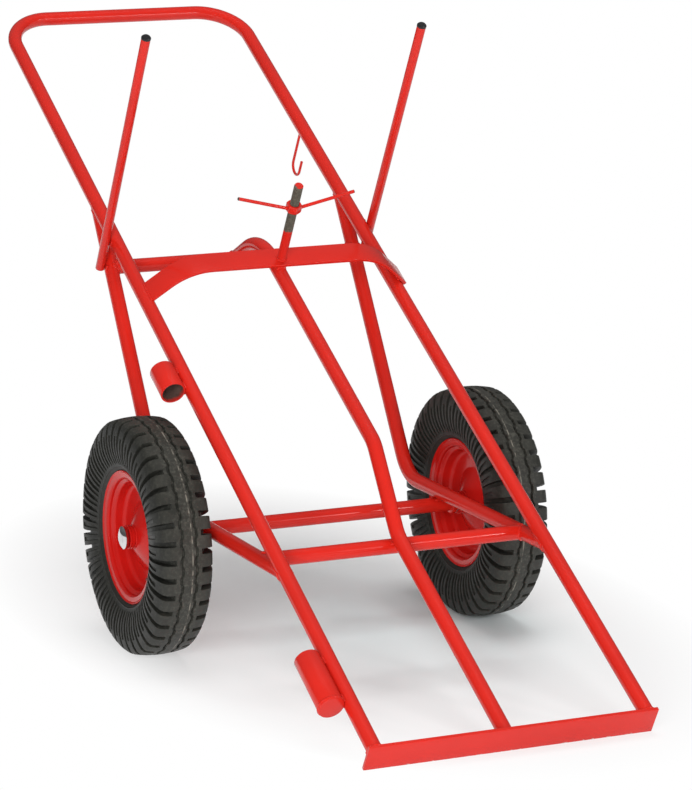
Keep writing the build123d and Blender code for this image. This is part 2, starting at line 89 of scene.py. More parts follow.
# Frame, drawn on a bench: x across, y along the side tubes from the toe bar, z square to them
HALF_WIDTH = 232.0
FRAME_LENGTH = 1923.0
HANDLE_BEND = 84.0
GAP = 0.2
PRESS_FIT = 0.05
TOE_THICK = 6.0
TOE_WIDTH = 48.0
TOE_TOP = 13.5
STRUT_TOP_S = 1355.0
STRUT_TOP_ANGLE = radians(28.2)
STRUT_BEND = 75.0
UPPER_CROSS_S = 1249.5
LOWER_CROSS_RUN = 79.9
CENTRE_TOP = 51.0
RAMP_ANGLE = radians(26.0)
RAMP_BEND = 60.0
RAMP_LEAD = 15.0
ARCH_S = 1173.5
ARCH_BEND = 120.0
BRIDGE_WIDTH = 46.5
BRIDGE_THICK = 5.0
BRIDGE_S = 1094.5
BRIDGE_SHIFT = 8.0
BRIDGE_SLOPE = radians(43.0)
BRIDGE_BEND = 105.0
BRIDGE_LAP = 9.0
BAR_EDGE = 0.8
STUD_X = 6.0
STUD_S = 1090.0
STUD_TOP = 227.0
STUD_R = 8.0
STUD_SHANK = 2.0
STUD_SHANK_R = STUD_R - 0.3
STUD_EDGE = 0.8
THREAD_HEIGHT = 0.61  # share of the pitch
THREAD_CREST = 0.14  # share of the pitch
THREAD_SINK = 0.2
NUT_Z = 172.0
NUT_FLAT_R = 12.0
NUT_HEIGHT = 14.0
NUT_BORE_R = 8.05
NUT_CHAMFER = 0.8
WING_R = 3.0
WING_REACH = 107.5
WING_RISE = 31.0
WING_ROOT = 2.0
WING_SINK = 2.0
WING_TIP = 1.2
WING_BARE = 1.6
ARM_WALL = 1.5
ARM_TOP = 428.0
PLUG_LIP = 0.4
PLUG_BARREL = 3.0
PLUG_DOME = 5.0
PLUG_LENGTH = 18.0
PLUG_EDGE = 1.0
HOOK_S = 1549.0
HOOK_BEND = 16.0
HOOK_LOW = -80.0
HOOK_TIP = -58.0
HOOK_EDGE = 0.6
HOLDER_R = 21.2
HOLDER_WALL = 2.6
RING_S = (845.0, 903.0)
CUP_S = (103.0, 209.0)
CUP_BASE = 4.0
CUP_BASE_BENDS = (1.0, 0.4)
TUBE_EDGE = 0.3

# Axle and wheels: r from the axle, u outward from a wheel's middle plane
AXLE_R = 12.5
AXLE_REACH = 350.3
AXLE_EDGE = 1.0
WHEEL_X = 306.0
HUB_R = 18.5
HUB_BORE_R = 15.5
HUB_HALF = 39.0
HUB_EDGE = 0.8
COLLARS_U = (26.0, 31.0)
COLLAR_WIDTH = 3.4
COLLAR_RISE = 1.2
COLLAR_SLOPE = 0.6
WASHER_R = 17.0
WASHER_U = HUB_HALF + 0.3
STOP_RING_U = WASHER_U + 2.5
STOP_RING = 8.0
CLIP_R = 15.0
CLIP = 1.5
RING_EDGE = 0.4
CAP_WALL = 0.9
CAP_SKIRT = 4.0
CAP_BARREL = 3.0
CAP_DOME = 6.0
CAP_LIP = 0.6
CAP_STEP = 0.4
RIM_SHEET = 2.4
RIM_EDGE = 0.6
RIM_CONE_U = 22.0
RIM_LINE = (  # (r, u, bend) along the middle of the sheet, from the hub to the rolled lip
    (HUB_R + GAP + RIM_SHEET / 2, RIM_CONE_U, 0.0), (57.96, RIM_SHEET / 2, 10.0), (92.0, RIM_SHEET / 2, 9.0),
    (92.0, 21.0, 3.0), (99.0, 25.0, 3.0), (99.0, 31.5, 4.0), (109.0, 33.0, 4.0), (112.0, 35.5, 0.0),
)
VALVE_U = 14.0
VALVE_ANGLE = radians(-55.0)
VALVE_LINE = (  # (radius, height) from the foot on the inner tube over the collar to the cap's end
    (0, 102.3), (4.0, 102.3), (5.5, 100.7), (4.0, 100.7), (4.0, 91.2), (6.0, 90.6), (6.0, 89.6), (4.2, 88.4),
    (3.6, 86.0), (4.3, 85.4), (4.5, 84.6), (4.5, 76.4), (3.5, 75.4), (0, 75.4),
)

# Tyre, in the wheel's r and u; a pitch is one lug and one notch
LUGS = 40
STEPS = 20
STEP = 2 * pi / LUGS / STEPS
CROWN_R = 200.0
CROWN_DROP = 4.0
TREAD_HALF = 37.0
GROOVE_FLOOR = (10.6, 13.8)
GROOVE_EDGES = (9.6, 14.8)
WAVE_LONG = 1.6
WAVE_SHORT = 0.5
LUG_EDGE = 0.6
NOTCH_U = 22.0
NOTCH_STEPS = 6
FLUTE_STEPS = 5
RIGHT_STARTS = (2, 12)  # steps where the notch and the flute start on the right side of a pitch
LEFT_STARTS = (12, 3)
NOTCH_MIDDLE = RIGHT_STARTS[0] + NOTCH_STEPS / 2
RIB_R = 122.0  # foot of the notches and flutes, above the bead's rib
BEAD_RIB = ((119.6, 0.0), (118.9, 0.9), (117.9, 0.9), (117.2, 0.0))  # r, and the rise over the sidewall
BEAD_FOOT = ((116.0, 38.0), (110.3, 30.0), (102.0, 30.0), (102.0, 20.0), (106.6, 20.0))
CAVITY = ((121.8, 35.5), (142.0, 41.0), (168.0, 31.4), (178.7, 17.3), (182.5, 0.0))
SHOULDER = ((193.2, 40.4), (190.0, 43.0))
WALL_ARC = ((38.0, 116.0), (50.0, 157.0), (43.0, 190.0))  # (u, r) of bead, widest place and shoulder
WALL_RADII = (181.0, 172.0, 163.0, 154.0, 145.0, 136.0, 128.0, RIB_R)
CROWN_ROWS_U = (0.0, 4.0)
TREAD_ROWS_U = (NOTCH_U, 29.5, TREAD_HALF)
NOTCH_FLOOR = (  # (r, u) from the tread over the shoulder to the top of the sidewall
    (190.5, 22.8), (188.0, 26.2), (185.2, 29.2), (182.5, 31.0), (179.5, 32.4), (174.5, 34.6), (168.5, 37.3),
)
NOTCH_DEPTHS = (9.6, 6.4, 5.0, 4.0, 2.5, 0.0)  # down the rest of the sidewall
FLUTE_SHARES = (0.6, 1.0, 1.0, 1.0, 1.0, 0.8, 0.0)

# Weld beads; OFF is how far to each side of a line of contact a bead lies
BEAD_STEP = 1.5
BEAD_RIPPLE = (1.0, 0.88, 0.80)
BEAD_END = 0.45
BEAD_SINK = 1.5
NUT_BEAD_R = 1.1
WHEEL_BEAD_R = 1.9
SHORT_BEAD = 6.0  # half its length
CENTRE_BEAD_OFF = 8.5
AXLE_BEAD = 7.0  # half its length
AXLE_BEAD_OFF = 8.0
ARM_BEAD_OFF = 6.8
BRIDGE_BEAD_OFF = 8.3
LAP_BEAD_OFF = 7.5
HOLDER_BEAD = 16.0
HOLDER_BEAD_OFF = 6.6
HOLDER_BEADS_S = (RING_S[0] + 2, RING_S[1] - 18, CUP_S[0] + 3, CUP_S[1] - 20)

# Stage, in metres
LAMPS = (  # name, place, aim, size, watts, seen in reflections
    ("overhead_softbox", (0.3, -0.1, 4.2), (0.0, 0.0, 0.0), 2.2, 66.0, False),
    ("front_fill", (-2.9, -4.7, 1.6), (0.0, 0.0, 0.4), 2.4, 235.0, False),
    ("right_glint", (2.0, -3.8, 1.5), (0.0, 0.2, 0.8), 0.25, 15.0, True),
    ("far_right_glint", (3.0, -3.0, 1.6), (0.0, 0.2, 0.8), 0.25, 15.0, True),
)
CAMERA_AT = (-2.33847, -5.44086, 1.62366)
CAMERA_TURN = (radians(78.315), 0, radians(-24.088))
CAMERA_LENS = 160.85  # millimetres, as its sensor
CAMERA_SENSOR = 36.0
CAMERA_FAR = 200.0
FLOOR_SIZE = 80.0


def shift(x, y, z):
    return Matrix.Translation(Vector((x, y, z)) * MM)


def bench_matrix():
    """Bench to world, taken from the clamp nut's joint."""
    nut = JOINTS["clamp_nut_turn"]
    up = Vector(nut["axis"]).normalized()
    turn = Matrix((ACROSS, up.cross(ACROSS), up)).transposed()
    nut_on_bench = Vector((STUD_X, STUD_S, NUT_Z)) * MM
    return Matrix.Translation(Vector(nut["pos_m"]) - turn @ nut_on_bench) @ turn.to_4x4()


def lathe_matrix(at, outward):
    """Lathe axis to world: local Z runs along the axle, towards +X for 1 and -X for -1."""
    turn = Matrix(((0, 0, outward), (outward, 0, 0), (0, 1, 0)))
    return Matrix.Translation(at) @ turn.to_4x4()


BENCH = bench_matrix()
LEAN = atan2(BENCH[2][1], BENCH[1][1])
WHEEL_AT = {side: Vector(JOINTS[f"{side}_wheel_spin"]["pos_m"]) for side, _ in SIDES}
AXLE_AT = (WHEEL_AT["left"] + WHEEL_AT["right"]) / 2
WHEEL_PLACE = {side: lathe_matrix(WHEEL_AT[side], way) for side, way in SIDES}


def length_property(name, description, default, low, high):
    return FloatProperty(
        name=name, description=description, default=default, min=low, max=high, unit="LENGTH",
    )


def colour_property(name, description, *default):
    return FloatVectorProperty(
        name=name, description=description, default=default, min=0, max=1, subtype="COLOR",
    )


class TrolleySizes(PropertyGroup):
    """Sizes of the pieces."""

    tube_diameter: length_property("Frame Tube", "Outside diameter of the frame tube", 0.025, 0.02, 0.03)
    arm_diameter: length_property("Side Arm", "Outside diameter of the side arms", 0.016, 0.01, 0.02)
    wire_diameter: length_property("Hook Wire", "Diameter of the torch hook's wire", 0.005, 0.003, 0.008)
    thread_pitch: length_property("Thread Pitch", "Pitch of the clamp stud's thread", 0.002, 0.001, 0.004)
    weld_radius: length_property("Weld Bead", "Radius of the weld beads on the frame", 0.0026, 0.001, 0.005)
    flute_depth: length_property(
        "Sidewall Flutes", "Depth of the flutes in the tyres' sidewalls", 0.0032, 0.0005, 0.004,
    )
    groove_depth: length_property(
        "Tread Grooves", "Depth of the two grooves round the tread", 0.005, 0.001, 0.008,
    )
    tube_sides: IntProperty(
        name="Tube Sides", description="Flats round each tube of the frame", default=48, min=16, max=96,
    )


class TrolleyFinish(PropertyGroup):
    """Colours of the finishes."""

    frame_red: colour_property("Frame Paint", "Enamel on the frame", 0.635, 0.018, 0.010)
    wheel_red: colour_property("Wheel Paint", "Enamel on the rims and hubs", 0.54, 0.011, 0.008)
    chip_red: colour_property("Chipped Paint", "Undercoat in the chips of the enamel", 0.22, 0.030, 0.022)
    scrape_grey: colour_property("Scraped Foot", "Bared steel where the toe bar scrapes", 0.55, 0.50, 0.46)
    tyre_black: colour_property("Tyre Rubber", "Clean rubber of the tyres", 0.013, 0.0135, 0.0115)
    tyre_dust: colour_property("Tyre Dust", "Dust and bloom on the tyres", 0.082, 0.080, 0.067)
    mould_line: colour_property("Moulding Line", "Pale line round the tyres' tread", 0.26, 0.24, 0.20)
    thread_grey: colour_property("Bare Thread", "Bare steel of the clamp stud", 0.225, 0.205, 0.160)
    # painted shade: the brown of the unpainted bore is deepened to stand for the shade inside the open tubes
    shaded_bare_brown: colour_property("Bare Bore", "Unpainted steel inside the open tubes", 0.125, 0.078, 0.064)
    zinc_grey: colour_property("Zinc", "Plating of the washers and clips", 0.60, 0.60, 0.57)
    chrome_white: colour_property("Chrome", "Plating of the hub caps", 0.72, 0.72, 0.73)
    plug_black: colour_property("Plug Plastic", "Plastic of the arm plugs", 0.012, 0.012, 0.013)
    # painted shadow and painted light: a darker floor colour that stands for the shade under the trolley,
    # tinted cyan to cancel the red light bounced off the frame
    painted_shadow_floor: colour_property("Floor", "Studio floor under the trolley", 0.785, 0.83, 0.835)


def sizes():
    return bpy.context.scene.trolley_sizes


def colours():
    return bpy.context.scene.trolley_finish


def tinted(colour, factor):
    return tuple(min(1.0, channel * factor) for channel in colour)


# Node materials
class Nodes:
    """Adds nodes to a tree, with its patterns on one of the texture coordinates."""

    def __init__(self, tree, coords="Object"):
        self.tree = tree
        self.coords = self.add("ShaderNodeTexCoord").outputs[coords]

    def add(self, kind, inputs=None, **settings):
        """Add a node; inputs are values or the sockets that feed them."""
        made = self.tree.nodes.new(kind)
        for key, value in settings.items():
            setattr(made, key, value)
        for key, value in (inputs or {}).items():
            self.feed(made.inputs[key], value)
        return made

    def feed(self, socket, value):
        if isinstance(value, NodeSocket):
            self.tree.links.new(value, socket)
        else:
            socket.default_value = value

    def noise(self, scale, detail=2.0, roughness=0.5):
        inputs = {"Vector": self.coords, "Scale": scale, "Detail": detail, "Roughness": roughness}
        return self.add("ShaderNodeTexNoise", inputs).outputs["Fac"]

    def spread(self, value, low, high, to_low=0.0, to_high=1.0):
        """Map a stretch of a value to another, held at the ends."""
        inputs = {"Value": value, "From Min": low, "From Max": high, "To Min": to_low, "To Max": to_high}
        return self.add("ShaderNodeMapRange", inputs).outputs["Result"]

    def calc(self, operation, first, second=0.0):
        return self.add("ShaderNodeMath", {0: first, 1: second}, operation=operation).outputs["Value"]

    def length(self, vector):
        return self.add("ShaderNodeVectorMath", {0: vector}, operation="LENGTH").outputs["Value"]

    def parts(self, vector):
        return self.add("ShaderNodeSeparateXYZ", {"Vector": vector}).outputs

    def centred(self, **mapping):
        return self.add("ShaderNodeMapping", {"Vector": self.coords, **mapping}).outputs["Vector"]

    def on_bench(self, way):
        """How far along one of the bench's ways a place lies."""
        way = BENCH.to_3x3() @ way
        dot = self.add("ShaderNodeVectorMath", {0: self.coords, 1: way}, operation="DOT_PRODUCT")
        return self.calc("SUBTRACT", dot.outputs["Value"], way.dot(BENCH.translation))

    def blend(self, amount, first, second):
        """Mix two colours."""
        made = self.add("ShaderNodeMix", {0: amount}, data_type="RGBA")
        for key, value in ((6, first), (7, second)):
            self.feed(made.inputs[key], value if isinstance(value, NodeSocket) else (*value, 1))
        return made.outputs[2]

    def tones(self, value, low, high, colour, first, second):
        """Blend two tints of a colour over a stretch of a value."""
        return self.blend(self.spread(value, low, high), tinted(colour, first), tinted(colour, second))

    def mix_shaders(self, amount, first, second):
        return self.add("ShaderNodeMixShader", {0: amount, 1: first, 2: second}).outputs["Shader"]


class Finish(Nodes):
    """New node material on Object coordinates, with its Principled shader."""

    def __init__(self, name, **values):
        self.material = bpy.data.materials.new(name)
        self.material.use_nodes = True
        super().__init__(self.material.node_tree)
        self.shader = self.tree.nodes["Principled BSDF"]
        self.set(**values)

    def set(self, **values):
        for key, value in values.items():
            self.feed(self.shader.inputs[key.replace("_", " ")], value)

    def done(self, colour, patches, gloss, height, strength, distance=0.0002, **values):
        """Feed colour, roughness and relief; the patches spread the roughness over gloss."""
        relief = self.add("ShaderNodeBump", {"Height": height, "Strength": strength, "Distance": distance})
        rough = self.spread(patches, 0.3, 0.7, *gloss)
        self.set(Base_Color=colour, Roughness=rough, Normal=relief.outputs["Normal"], **values)
        return self.material


def enamel(name, colour, shine, gloss, chipping):
    """Gloss enamel: slow change of depth, orange peel, thin spots, small chips and a scraped foot."""
    paint = Finish(name, Specular_IOR_Level=shine)
    cloud = paint.noise(38.0, 3.0, 0.6)
    peel = paint.noise(520.0)
    chips = paint.spread(paint.noise(160.0, 6.0, 0.75), 0.79, 0.81, 0.0, chipping)
    deep = paint.tones(paint.noise(6.0, 3.0), 0.3, 0.7, colour, 0.93, 1.05)
    cloudy = paint.blend(paint.spread(cloud, 0.35, 0.75, 0.0, 0.06), deep, tinted(colour, 0.70))
    chipped = paint.blend(chips, cloudy, colours().chip_red)
    near_floor = paint.spread(paint.parts(paint.coords)["Z"], 0.0, 0.009, 0.22, -0.4)
    scrape = paint.calc("ADD", paint.noise(95.0, 4.0, 0.7), near_floor)
    scraped = paint.blend(paint.spread(scrape, 0.72, 0.78, 0.0, 0.8), chipped, colours().scrape_grey)
    height = paint.calc("SUBTRACT", paint.calc("MULTIPLY", peel, 0.4), chips)
    return paint.done(scraped, cloud, (gloss, gloss + 0.07), height, 0.02, 0.0004)


def tyre_rubber(name):
    """Rubber with bloom and dust: dusty on the tread and in patches, a broken pale moulding line."""
    rubber = Finish(name, Specular_IOR_Level=0.34)
    parts = rubber.parts(rubber.centred(Location=(0.0, -AXLE_AT.y, -AXLE_AT.z)))
    flat = rubber.add("ShaderNodeCombineXYZ", {"Y": parts["Y"], "Z": parts["Z"]}).outputs["Vector"]
    radius = rubber.length(flat)
    across = rubber.calc("SUBTRACT", rubber.calc("ABSOLUTE", parts["X"]), WHEEL_X * MM)
    off_line = rubber.calc("ABSOLUTE", rubber.calc("ADD", across, 0.005))
    patches = rubber.noise(16.0, 6.0, 0.65)
    grain = rubber.noise(1100.0)
    scuff = rubber.noise(190.0, 5.0, 0.7)
    on_tread = rubber.spread(radius, 0.186, 0.199, 0.10, 0.50)
    dusty = rubber.calc("MULTIPLY", on_tread, rubber.spread(patches, 0.35, 0.75, 0.25, 1.0))
    in_middle = rubber.spread(rubber.calc("ABSOLUTE", across), 0.014, 0.026, 1.0, 0.4)
    scuffed = rubber.calc("MULTIPLY", rubber.spread(scuff, 0.48, 0.72, 0.0, 0.8), in_middle)
    dusty = rubber.calc("ADD", dusty, scuffed)
    at_crown = rubber.spread(radius, 0.197, 0.1985)
    line = rubber.calc("MULTIPLY", rubber.spread(off_line, 0.0004, 0.0013, 0.9, 0.0), at_crown)
    broken = rubber.spread(rubber.noise(70.0, 3.0, 0.6), 0.45, 0.58, 0.05, 1.0)
    line = rubber.calc("MULTIPLY", line, broken)
    dusted = rubber.blend(dusty, colours().tyre_black, colours().tyre_dust)
    lined = rubber.blend(line, dusted, colours().mould_line)
    height = rubber.calc("ADD", rubber.calc("MULTIPLY", grain, 0.4), scuff)
    return rubber.done(lined, patches, (0.42, 0.64), height, 0.35, 0.0004)


def plating(name, colour, gloss):
    """Plated metal with smudges and fine scratches."""
    metal = Finish(name, Metallic=1.0)
    smudge = metal.noise(70.0, 4.0, 0.6)
    toned = metal.tones(smudge, 0.3, 0.75, colour, 1.05, 0.72)
    return metal.done(toned, smudge, gloss, metal.noise(900.0, 3.0), 0.05)


def dull(name, colour, grain_scale, gloss):
    """Dull surface: patches of another depth and a fine grain."""
    surface = Finish(name, Specular_IOR_Level=0.4)
    patch = surface.noise(45.0, 4.0, 0.6)
    toned = surface.tones(patch, 0.35, 0.7, colour, 1.0, 1.5)
    return surface.done(toned, patch, gloss, surface.noise(grain_scale, 3.0), 0.15)


def thread_steel(name):
    """Bare thread, with the frame's enamel below the clamp's reach and on the tip."""
    steel = Finish(name)
    ragged = steel.spread(steel.noise(130.0, 4.0, 0.7), 0.3, 0.7, -0.004, 0.004)
    level = steel.calc("ADD", steel.on_bench(UP), ragged)
    low = steel.spread(level, 0.129, 0.1315, 1.0, 0.0)
    painted = steel.calc("MAXIMUM", low, steel.spread(level, 0.2235, 0.2245))
    oil = steel.noise(240.0, 5.0, 0.7)
    bare = steel.tones(oil, 0.35, 0.7, colours().thread_grey, 1.0, 0.45)
    colour = steel.blend(painted, bare, colours().frame_red)
    metallic = steel.spread(painted, 0.0, 1.0, 0.45, 0.0)
    return steel.done(colour, oil, (0.35, 0.55), oil, 0.15, Metallic=metallic)


def shaded_bare_bore(name):
    """Bare steel inside the open tubes, darkened for the painted shade inside them, with overspray at the
    mouths of the rod holder.
    """
    steel = Finish(name, Specular_IOR_Level=0.4)
    along = steel.on_bench(ALONG)
    patch = steel.noise(45.0, 4.0, 0.6)
    ragged = steel.spread(patch, 0.3, 0.7, -0.004, 0.004)
    painted = 0.0
    for mouth in (*RING_S, CUP_S[1]):
        off = steel.calc("ABSOLUTE", steel.calc("SUBTRACT", along, mouth * MM))
        sprayed = steel.spread(steel.calc("ADD", off, ragged), 0.004, 0.010, 0.85, 0.0)
        painted = steel.calc("MAXIMUM", painted, sprayed)
    # painted shade: the bare steel inside is made dark for the shade that falls in the bore
    bare = steel.tones(patch, 0.35, 0.7, colours().shaded_bare_brown, 1.0, 0.5)
    colour = steel.blend(painted, bare, tinted(colours().frame_red, 0.8))
    return steel.done(colour, patch, (0.45, 0.70), steel.noise(500.0, 3.0), 0.15)


FINISHES = {  # slot, or the bore inside one: the material's name and its maker
    "frame_paint": ("red_enamel", lambda name: enamel(name, colours().frame_red, 0.36, 0.16, 0.5)),
    "wheel_paint": ("wheel_enamel", lambda name: enamel(name, colours().wheel_red, 0.26, 0.14, 0.15)),
    "tyre": ("tyre_rubber", tyre_rubber),
    "thread_steel": ("stud_steel", thread_steel),
    "zinc_steel": ("zinc_plate", lambda name: plating(name, colours().zinc_grey, (0.26, 0.42))),
    "chrome": ("chrome_plate", lambda name: plating(name, colours().chrome_white, (0.05, 0.14))),
    "black_plastic": ("plug_plastic", lambda name: dull(name, colours().plug_black, 700.0, (0.28, 0.42))),
    "rubber": ("soft_rubber", lambda name: dull(name, colours().tyre_black, 900.0, (0.60, 0.80))),
    # painted shade: the bore's finish is bare steel darkened for the shade inside the tubes
    "bore": ("shaded_bare_bore", shaded_bare_bore),
}


def finish_for(slot):
    """The node material for a slot, made at its first use."""
    name, make = FINISHES[slot]
    return bpy.data.materials.get(name) or make(name)


# Modelling by hand tools
def clear_selection():
    if bpy.context.mode != "OBJECT":
        bpy.ops.object.mode_set(mode="OBJECT")
    bpy.ops.object.select_all(action="DESELECT")


def hold(piece):
    """Leave one piece selected and active, in object mode."""
    clear_selection()
    piece.select_set(True)
    bpy.context.view_layer.objects.active = piece


def named(name):
    """Name the active piece and its mesh."""
    piece = bpy.context.object
    piece.name = piece.data.name = name
    return piece


def apply_place():
    bpy.ops.object.transform_apply(location=True, rotation=True, scale=True)


def select_mesh():
    bpy.ops.mesh.select_all(action="SELECT")


def edit_new(name):
    """Name the primitive just added, settle its place and open it in edit mode, all selected."""
    piece = named(name)
    apply_place()
    bpy.ops.object.mode_set(mode="EDIT")
    select_mesh()
    return piece


def pick(piece, kind, wanted):
    """Select the faces or corners that are wanted."""
    bpy.ops.mesh.select_mode(type=kind)
    bpy.ops.mesh.select_all(action="DESELECT")
    mesh = bmesh.from_edit_mesh(piece.data)
    found = [item for item in (mesh.faces if kind == "FACE" else mesh.verts) if wanted(item)]
    if not found:
        raise RuntimeError(f"nothing to select on {piece.name}")
    for item in found:
        item.select_set(True)
    bmesh.update_edit_mesh(piece.data)


def tidy_mesh(threshold=MERGE):
    """Merge doubles and turn the faces outward."""
    select_mesh()
    bpy.ops.mesh.remove_doubles(threshold=threshold)
    bpy.ops.mesh.normals_make_consistent(inside=False)


def close_ends():
    select_mesh()
    bpy.ops.mesh.fill_holes(sides=0)


def modify(piece, kind, **settings):
    """Add a modifier and apply it."""
    hold(piece)
    bpy.ops.object.modifier_add(type=kind)
    modifier = piece.modifiers[-1]
    for key, value in settings.items():
        setattr(modifier, key, value)
    bpy.ops.object.modifier_apply(modifier=modifier.name)


def bevel(piece, width, segments=2, angle=60.0):
    """Round the edges that are sharper than an angle."""
    modify(
        piece, "BEVEL", width=width * MM, segments=segments, limit_method="ANGLE", angle_limit=radians(angle),
    )


def smooth(piece, angle=35.0):
    hold(piece)
    bpy.ops.object.shade_smooth_by_angle(angle=radians(angle))
    return piece


def settle(piece, place):
    """Move a piece from its drawing to the world and apply that to its mesh."""
    hold(piece)
    piece.matrix_world = place
    apply_place()
    return piece


def complete(piece, place, body, slot, *nodes):
    """Put a piece in its place, on its body, with its finish."""
    settle(piece, place)
    if not piece.data.materials:
        piece.data.materials.append(finish_for(slot))
    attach(piece, body)
    if nodes:
        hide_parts(*nodes)


def on_frame(piece, node, place=BENCH):
    """Complete a painted piece of the frame."""
    complete(piece, place, "frame", "frame_paint", node)


def copy_of(piece, name):
    """Copy of a piece with a mesh of its own."""
    hold(piece)
    bpy.ops.object.duplicate(linked=False)
    return named(name)


def both_sides(piece, node, slot, places, on_wheels=True):
    """Complete a piece for the right side and a copy of it for the left."""
    other = copy_of(piece, f"left_{node}_piece")
    piece.name = piece.data.name = f"right_{node}_piece"
    for side, made in (("right", piece), ("left", other)):
        body = f"{side}_wheel" if on_wheels else "frame"
        complete(made, places[side], body, slot, f"{side}_{node}")


def joined(pieces, name):
    hold(pieces[0])
    for piece in pieces[1:]:
        piece.select_set(True)
    bpy.ops.object.join()
    return named(name)


def bare_where(piece, wanted):
    """Paint a piece, and leave the faces bare whose middle is wanted, in the bore's steel, darkened by
    painted shade.
    """
    for slot in ("frame_paint", "bore"):
        piece.data.materials.append(finish_for(slot))
    for face in piece.data.polygons:
        if wanted(face.center):
            face.material_index = 1


def rounded(corners, steps):
    """Outline through (radius, height, bend) corners; a bend of 0 keeps its corner."""
    points = [Vector(corner[:2]) for corner in corners]
    line = []
    for index, (corner, (_, _, bend)) in enumerate(zip(points, corners)):
        if not bend:
            line.append(corner)
            continue
        back = (points[index - 1] - corner).normalized()
        ahead = (points[index + 1] - corner).normalized()
        half = back.angle(ahead) / 2
        middle = corner + (back + ahead).normalized() * bend / sin(half)
        first = corner + back * bend / tan(half) - middle
        last = corner + ahead * bend / tan(half) - middle
        sweep = pi - 2 * half
        for step in range(steps + 1):
            share = step / steps
            line.append(middle + (first * sin((1 - share) * sweep) + last * sin(share * sweep)) / sin(sweep))
    return line


def ball_cap(radius, foot, rise, steps=12):
    """Outline of a ball's cap, from its edge to its top."""
    ball = (radius**2 + rise**2) / (2 * rise)
    span = [radius * (1 - (step / steps) ** 1.4) for step in range(steps + 1)]
    return [(r, foot + rise - ball + sqrt(ball**2 - r**2)) for r in span]


def drawn(name, outline, closed=True):
    """Draw an outline of (radius, height) corners, left in edit mode, all selected."""
    points = [Vector((r, 0, u)) * MM for r, u in outline]
    if closed:
        points.append(points[0])
    clear_selection()
    bpy.ops.mesh.primitive_plane_add(size=MM)
    piece = edit_new(name)
    bpy.ops.mesh.merge(type="CENTER")
    bpy.ops.transform.translate(value=points[0])
    for here, there in zip(points, points[1:]):
        bpy.ops.mesh.extrude_vertices_move(TRANSFORM_OT_translate={"value": there - here})
    select_mesh()
    return piece


def spin(steps, angle, **settings):
    """Turn what is selected about the Z axis."""
    bpy.ops.mesh.spin(steps=steps, angle=-angle, center=(0, 0, 0), axis=UP, **settings)


def turned(name, outline, steps, closed=True):
    """Turn an outline of (radius, height) corners about the Z axis."""
    piece = drawn(name, outline, closed)
    spin(steps, 2 * pi)
    tidy_mesh()
    return piece


def draw_along(corners, bends):
    """Draw the selected outline along straight runs and round bends."""
    corners = [Vector(corner) * MM for corner in corners]
    trim = 0.0
    for index, (here, there) in enumerate(zip(corners, corners[1:])):
        way = (there - here).normalized()
        length = (there - here).length - trim
        bend = bends[index] * MM if index < len(bends) else 0.0
        trim = 0.0
        if bend:
            onward = (corners[index + 2] - there).normalized()
            angle = way.angle(onward)
            trim = bend * tan(angle / 2)
        if length - trim > SHORTEST_RUN:
            bpy.ops.mesh.extrude_region_move(TRANSFORM_OT_translate={"value": way * (length - trim)})
        if bend:
            axis = way.cross(onward).normalized()
            centre = there - way * trim + axis.cross(way) * bend
            steps = max(BEND_STEPS, round(degrees(angle) / BEND_STEP))
            bpy.ops.mesh.spin(steps=steps, angle=-angle, center=centre, axis=axis)


def turn_towards(way):
    """Rotation that turns Z towards a way."""
    return UP.rotation_difference(Vector(way))


def facing(corners):
    """Rotation of an outline at the first of the corners that it is drawn along."""
    return turn_towards(Vector(corners[1]) - Vector(corners[0])).to_euler()


def bent_tube(name, corners, bends, radius, wall=0.0, sides=0):
    """Tube along a path on the bench: closed at its hidden ends, or open with a wall and a bare bore,
    darkened by painted shade.
    """
    clear_selection()
    bpy.ops.mesh.primitive_circle_add(
        vertices=sides or sizes().tube_sides, radius=radius * MM, location=Vector(corners[0]) * MM,
        rotation=facing(corners),
    )
    piece = edit_new(name)
    draw_along(corners, bends)
    if not wall:
        close_ends()
    tidy_mesh()
    if wall:
        modify(piece, "SOLIDIFY", thickness=wall * MM, offset=-1.0)
        bevel(piece, TUBE_EDGE)
    smooth(piece)
    if wall:
        # painted shade: the faces inside the bore get the bare steel darkened for the shade inside the tube
        start = Vector(corners[0]) * MM
        way = (Vector(corners[1]) - Vector(corners[0])).normalized()
        inside = (radius - 0.8 * wall) * MM
        bare_where(piece, lambda at: (at - start - way * (at - start).dot(way)).length < inside)
    return piece


# Layout worked out from the drawing sizes
def tube_r():
    return sizes().tube_diameter / 2 / MM


def arm_r():
    return sizes().arm_diameter / 2 / MM


def wire_r():
    return sizes().wire_diameter / 2 / MM


def arm_x():
    return HALF_WIDTH + tube_r() + GAP + arm_r()


def holder_x():
    return -(HALF_WIDTH + tube_r() + GAP + HOLDER_R)


def bridge_level():
    """Middle of the bridge bar's thickness over the centre tube."""
    return CENTRE_TOP + tube_r() + GAP + BRIDGE_THICK / 2


def strut_corners(x):
    leg_height = (WHEEL_AT["right"].z - BENCH.translation.z) / MM + AXLE_R + GAP + tube_r()
    low_s = leg_height / sin(LEAN)
    leg = (STRUT_TOP_S - low_s) / (cos(LEAN) + sin(LEAN) / tan(STRUT_TOP_ANGLE))
    return (x, STRUT_TOP_S, 0), (x, low_s + leg * cos(LEAN), -leg * sin(LEAN)), (x, low_s, 0)


def cross_places():
    """(s, z) of the upper and the lower cross tube."""
    low_s = strut_corners(0)[2][1] + LOWER_CROSS_RUN
    upper = (UPPER_CROSS_S, -(STRUT_TOP_S - UPPER_CROSS_S) * tan(STRUT_TOP_ANGLE))
    return upper, (low_s, -LOWER_CROSS_RUN * tan(LEAN))


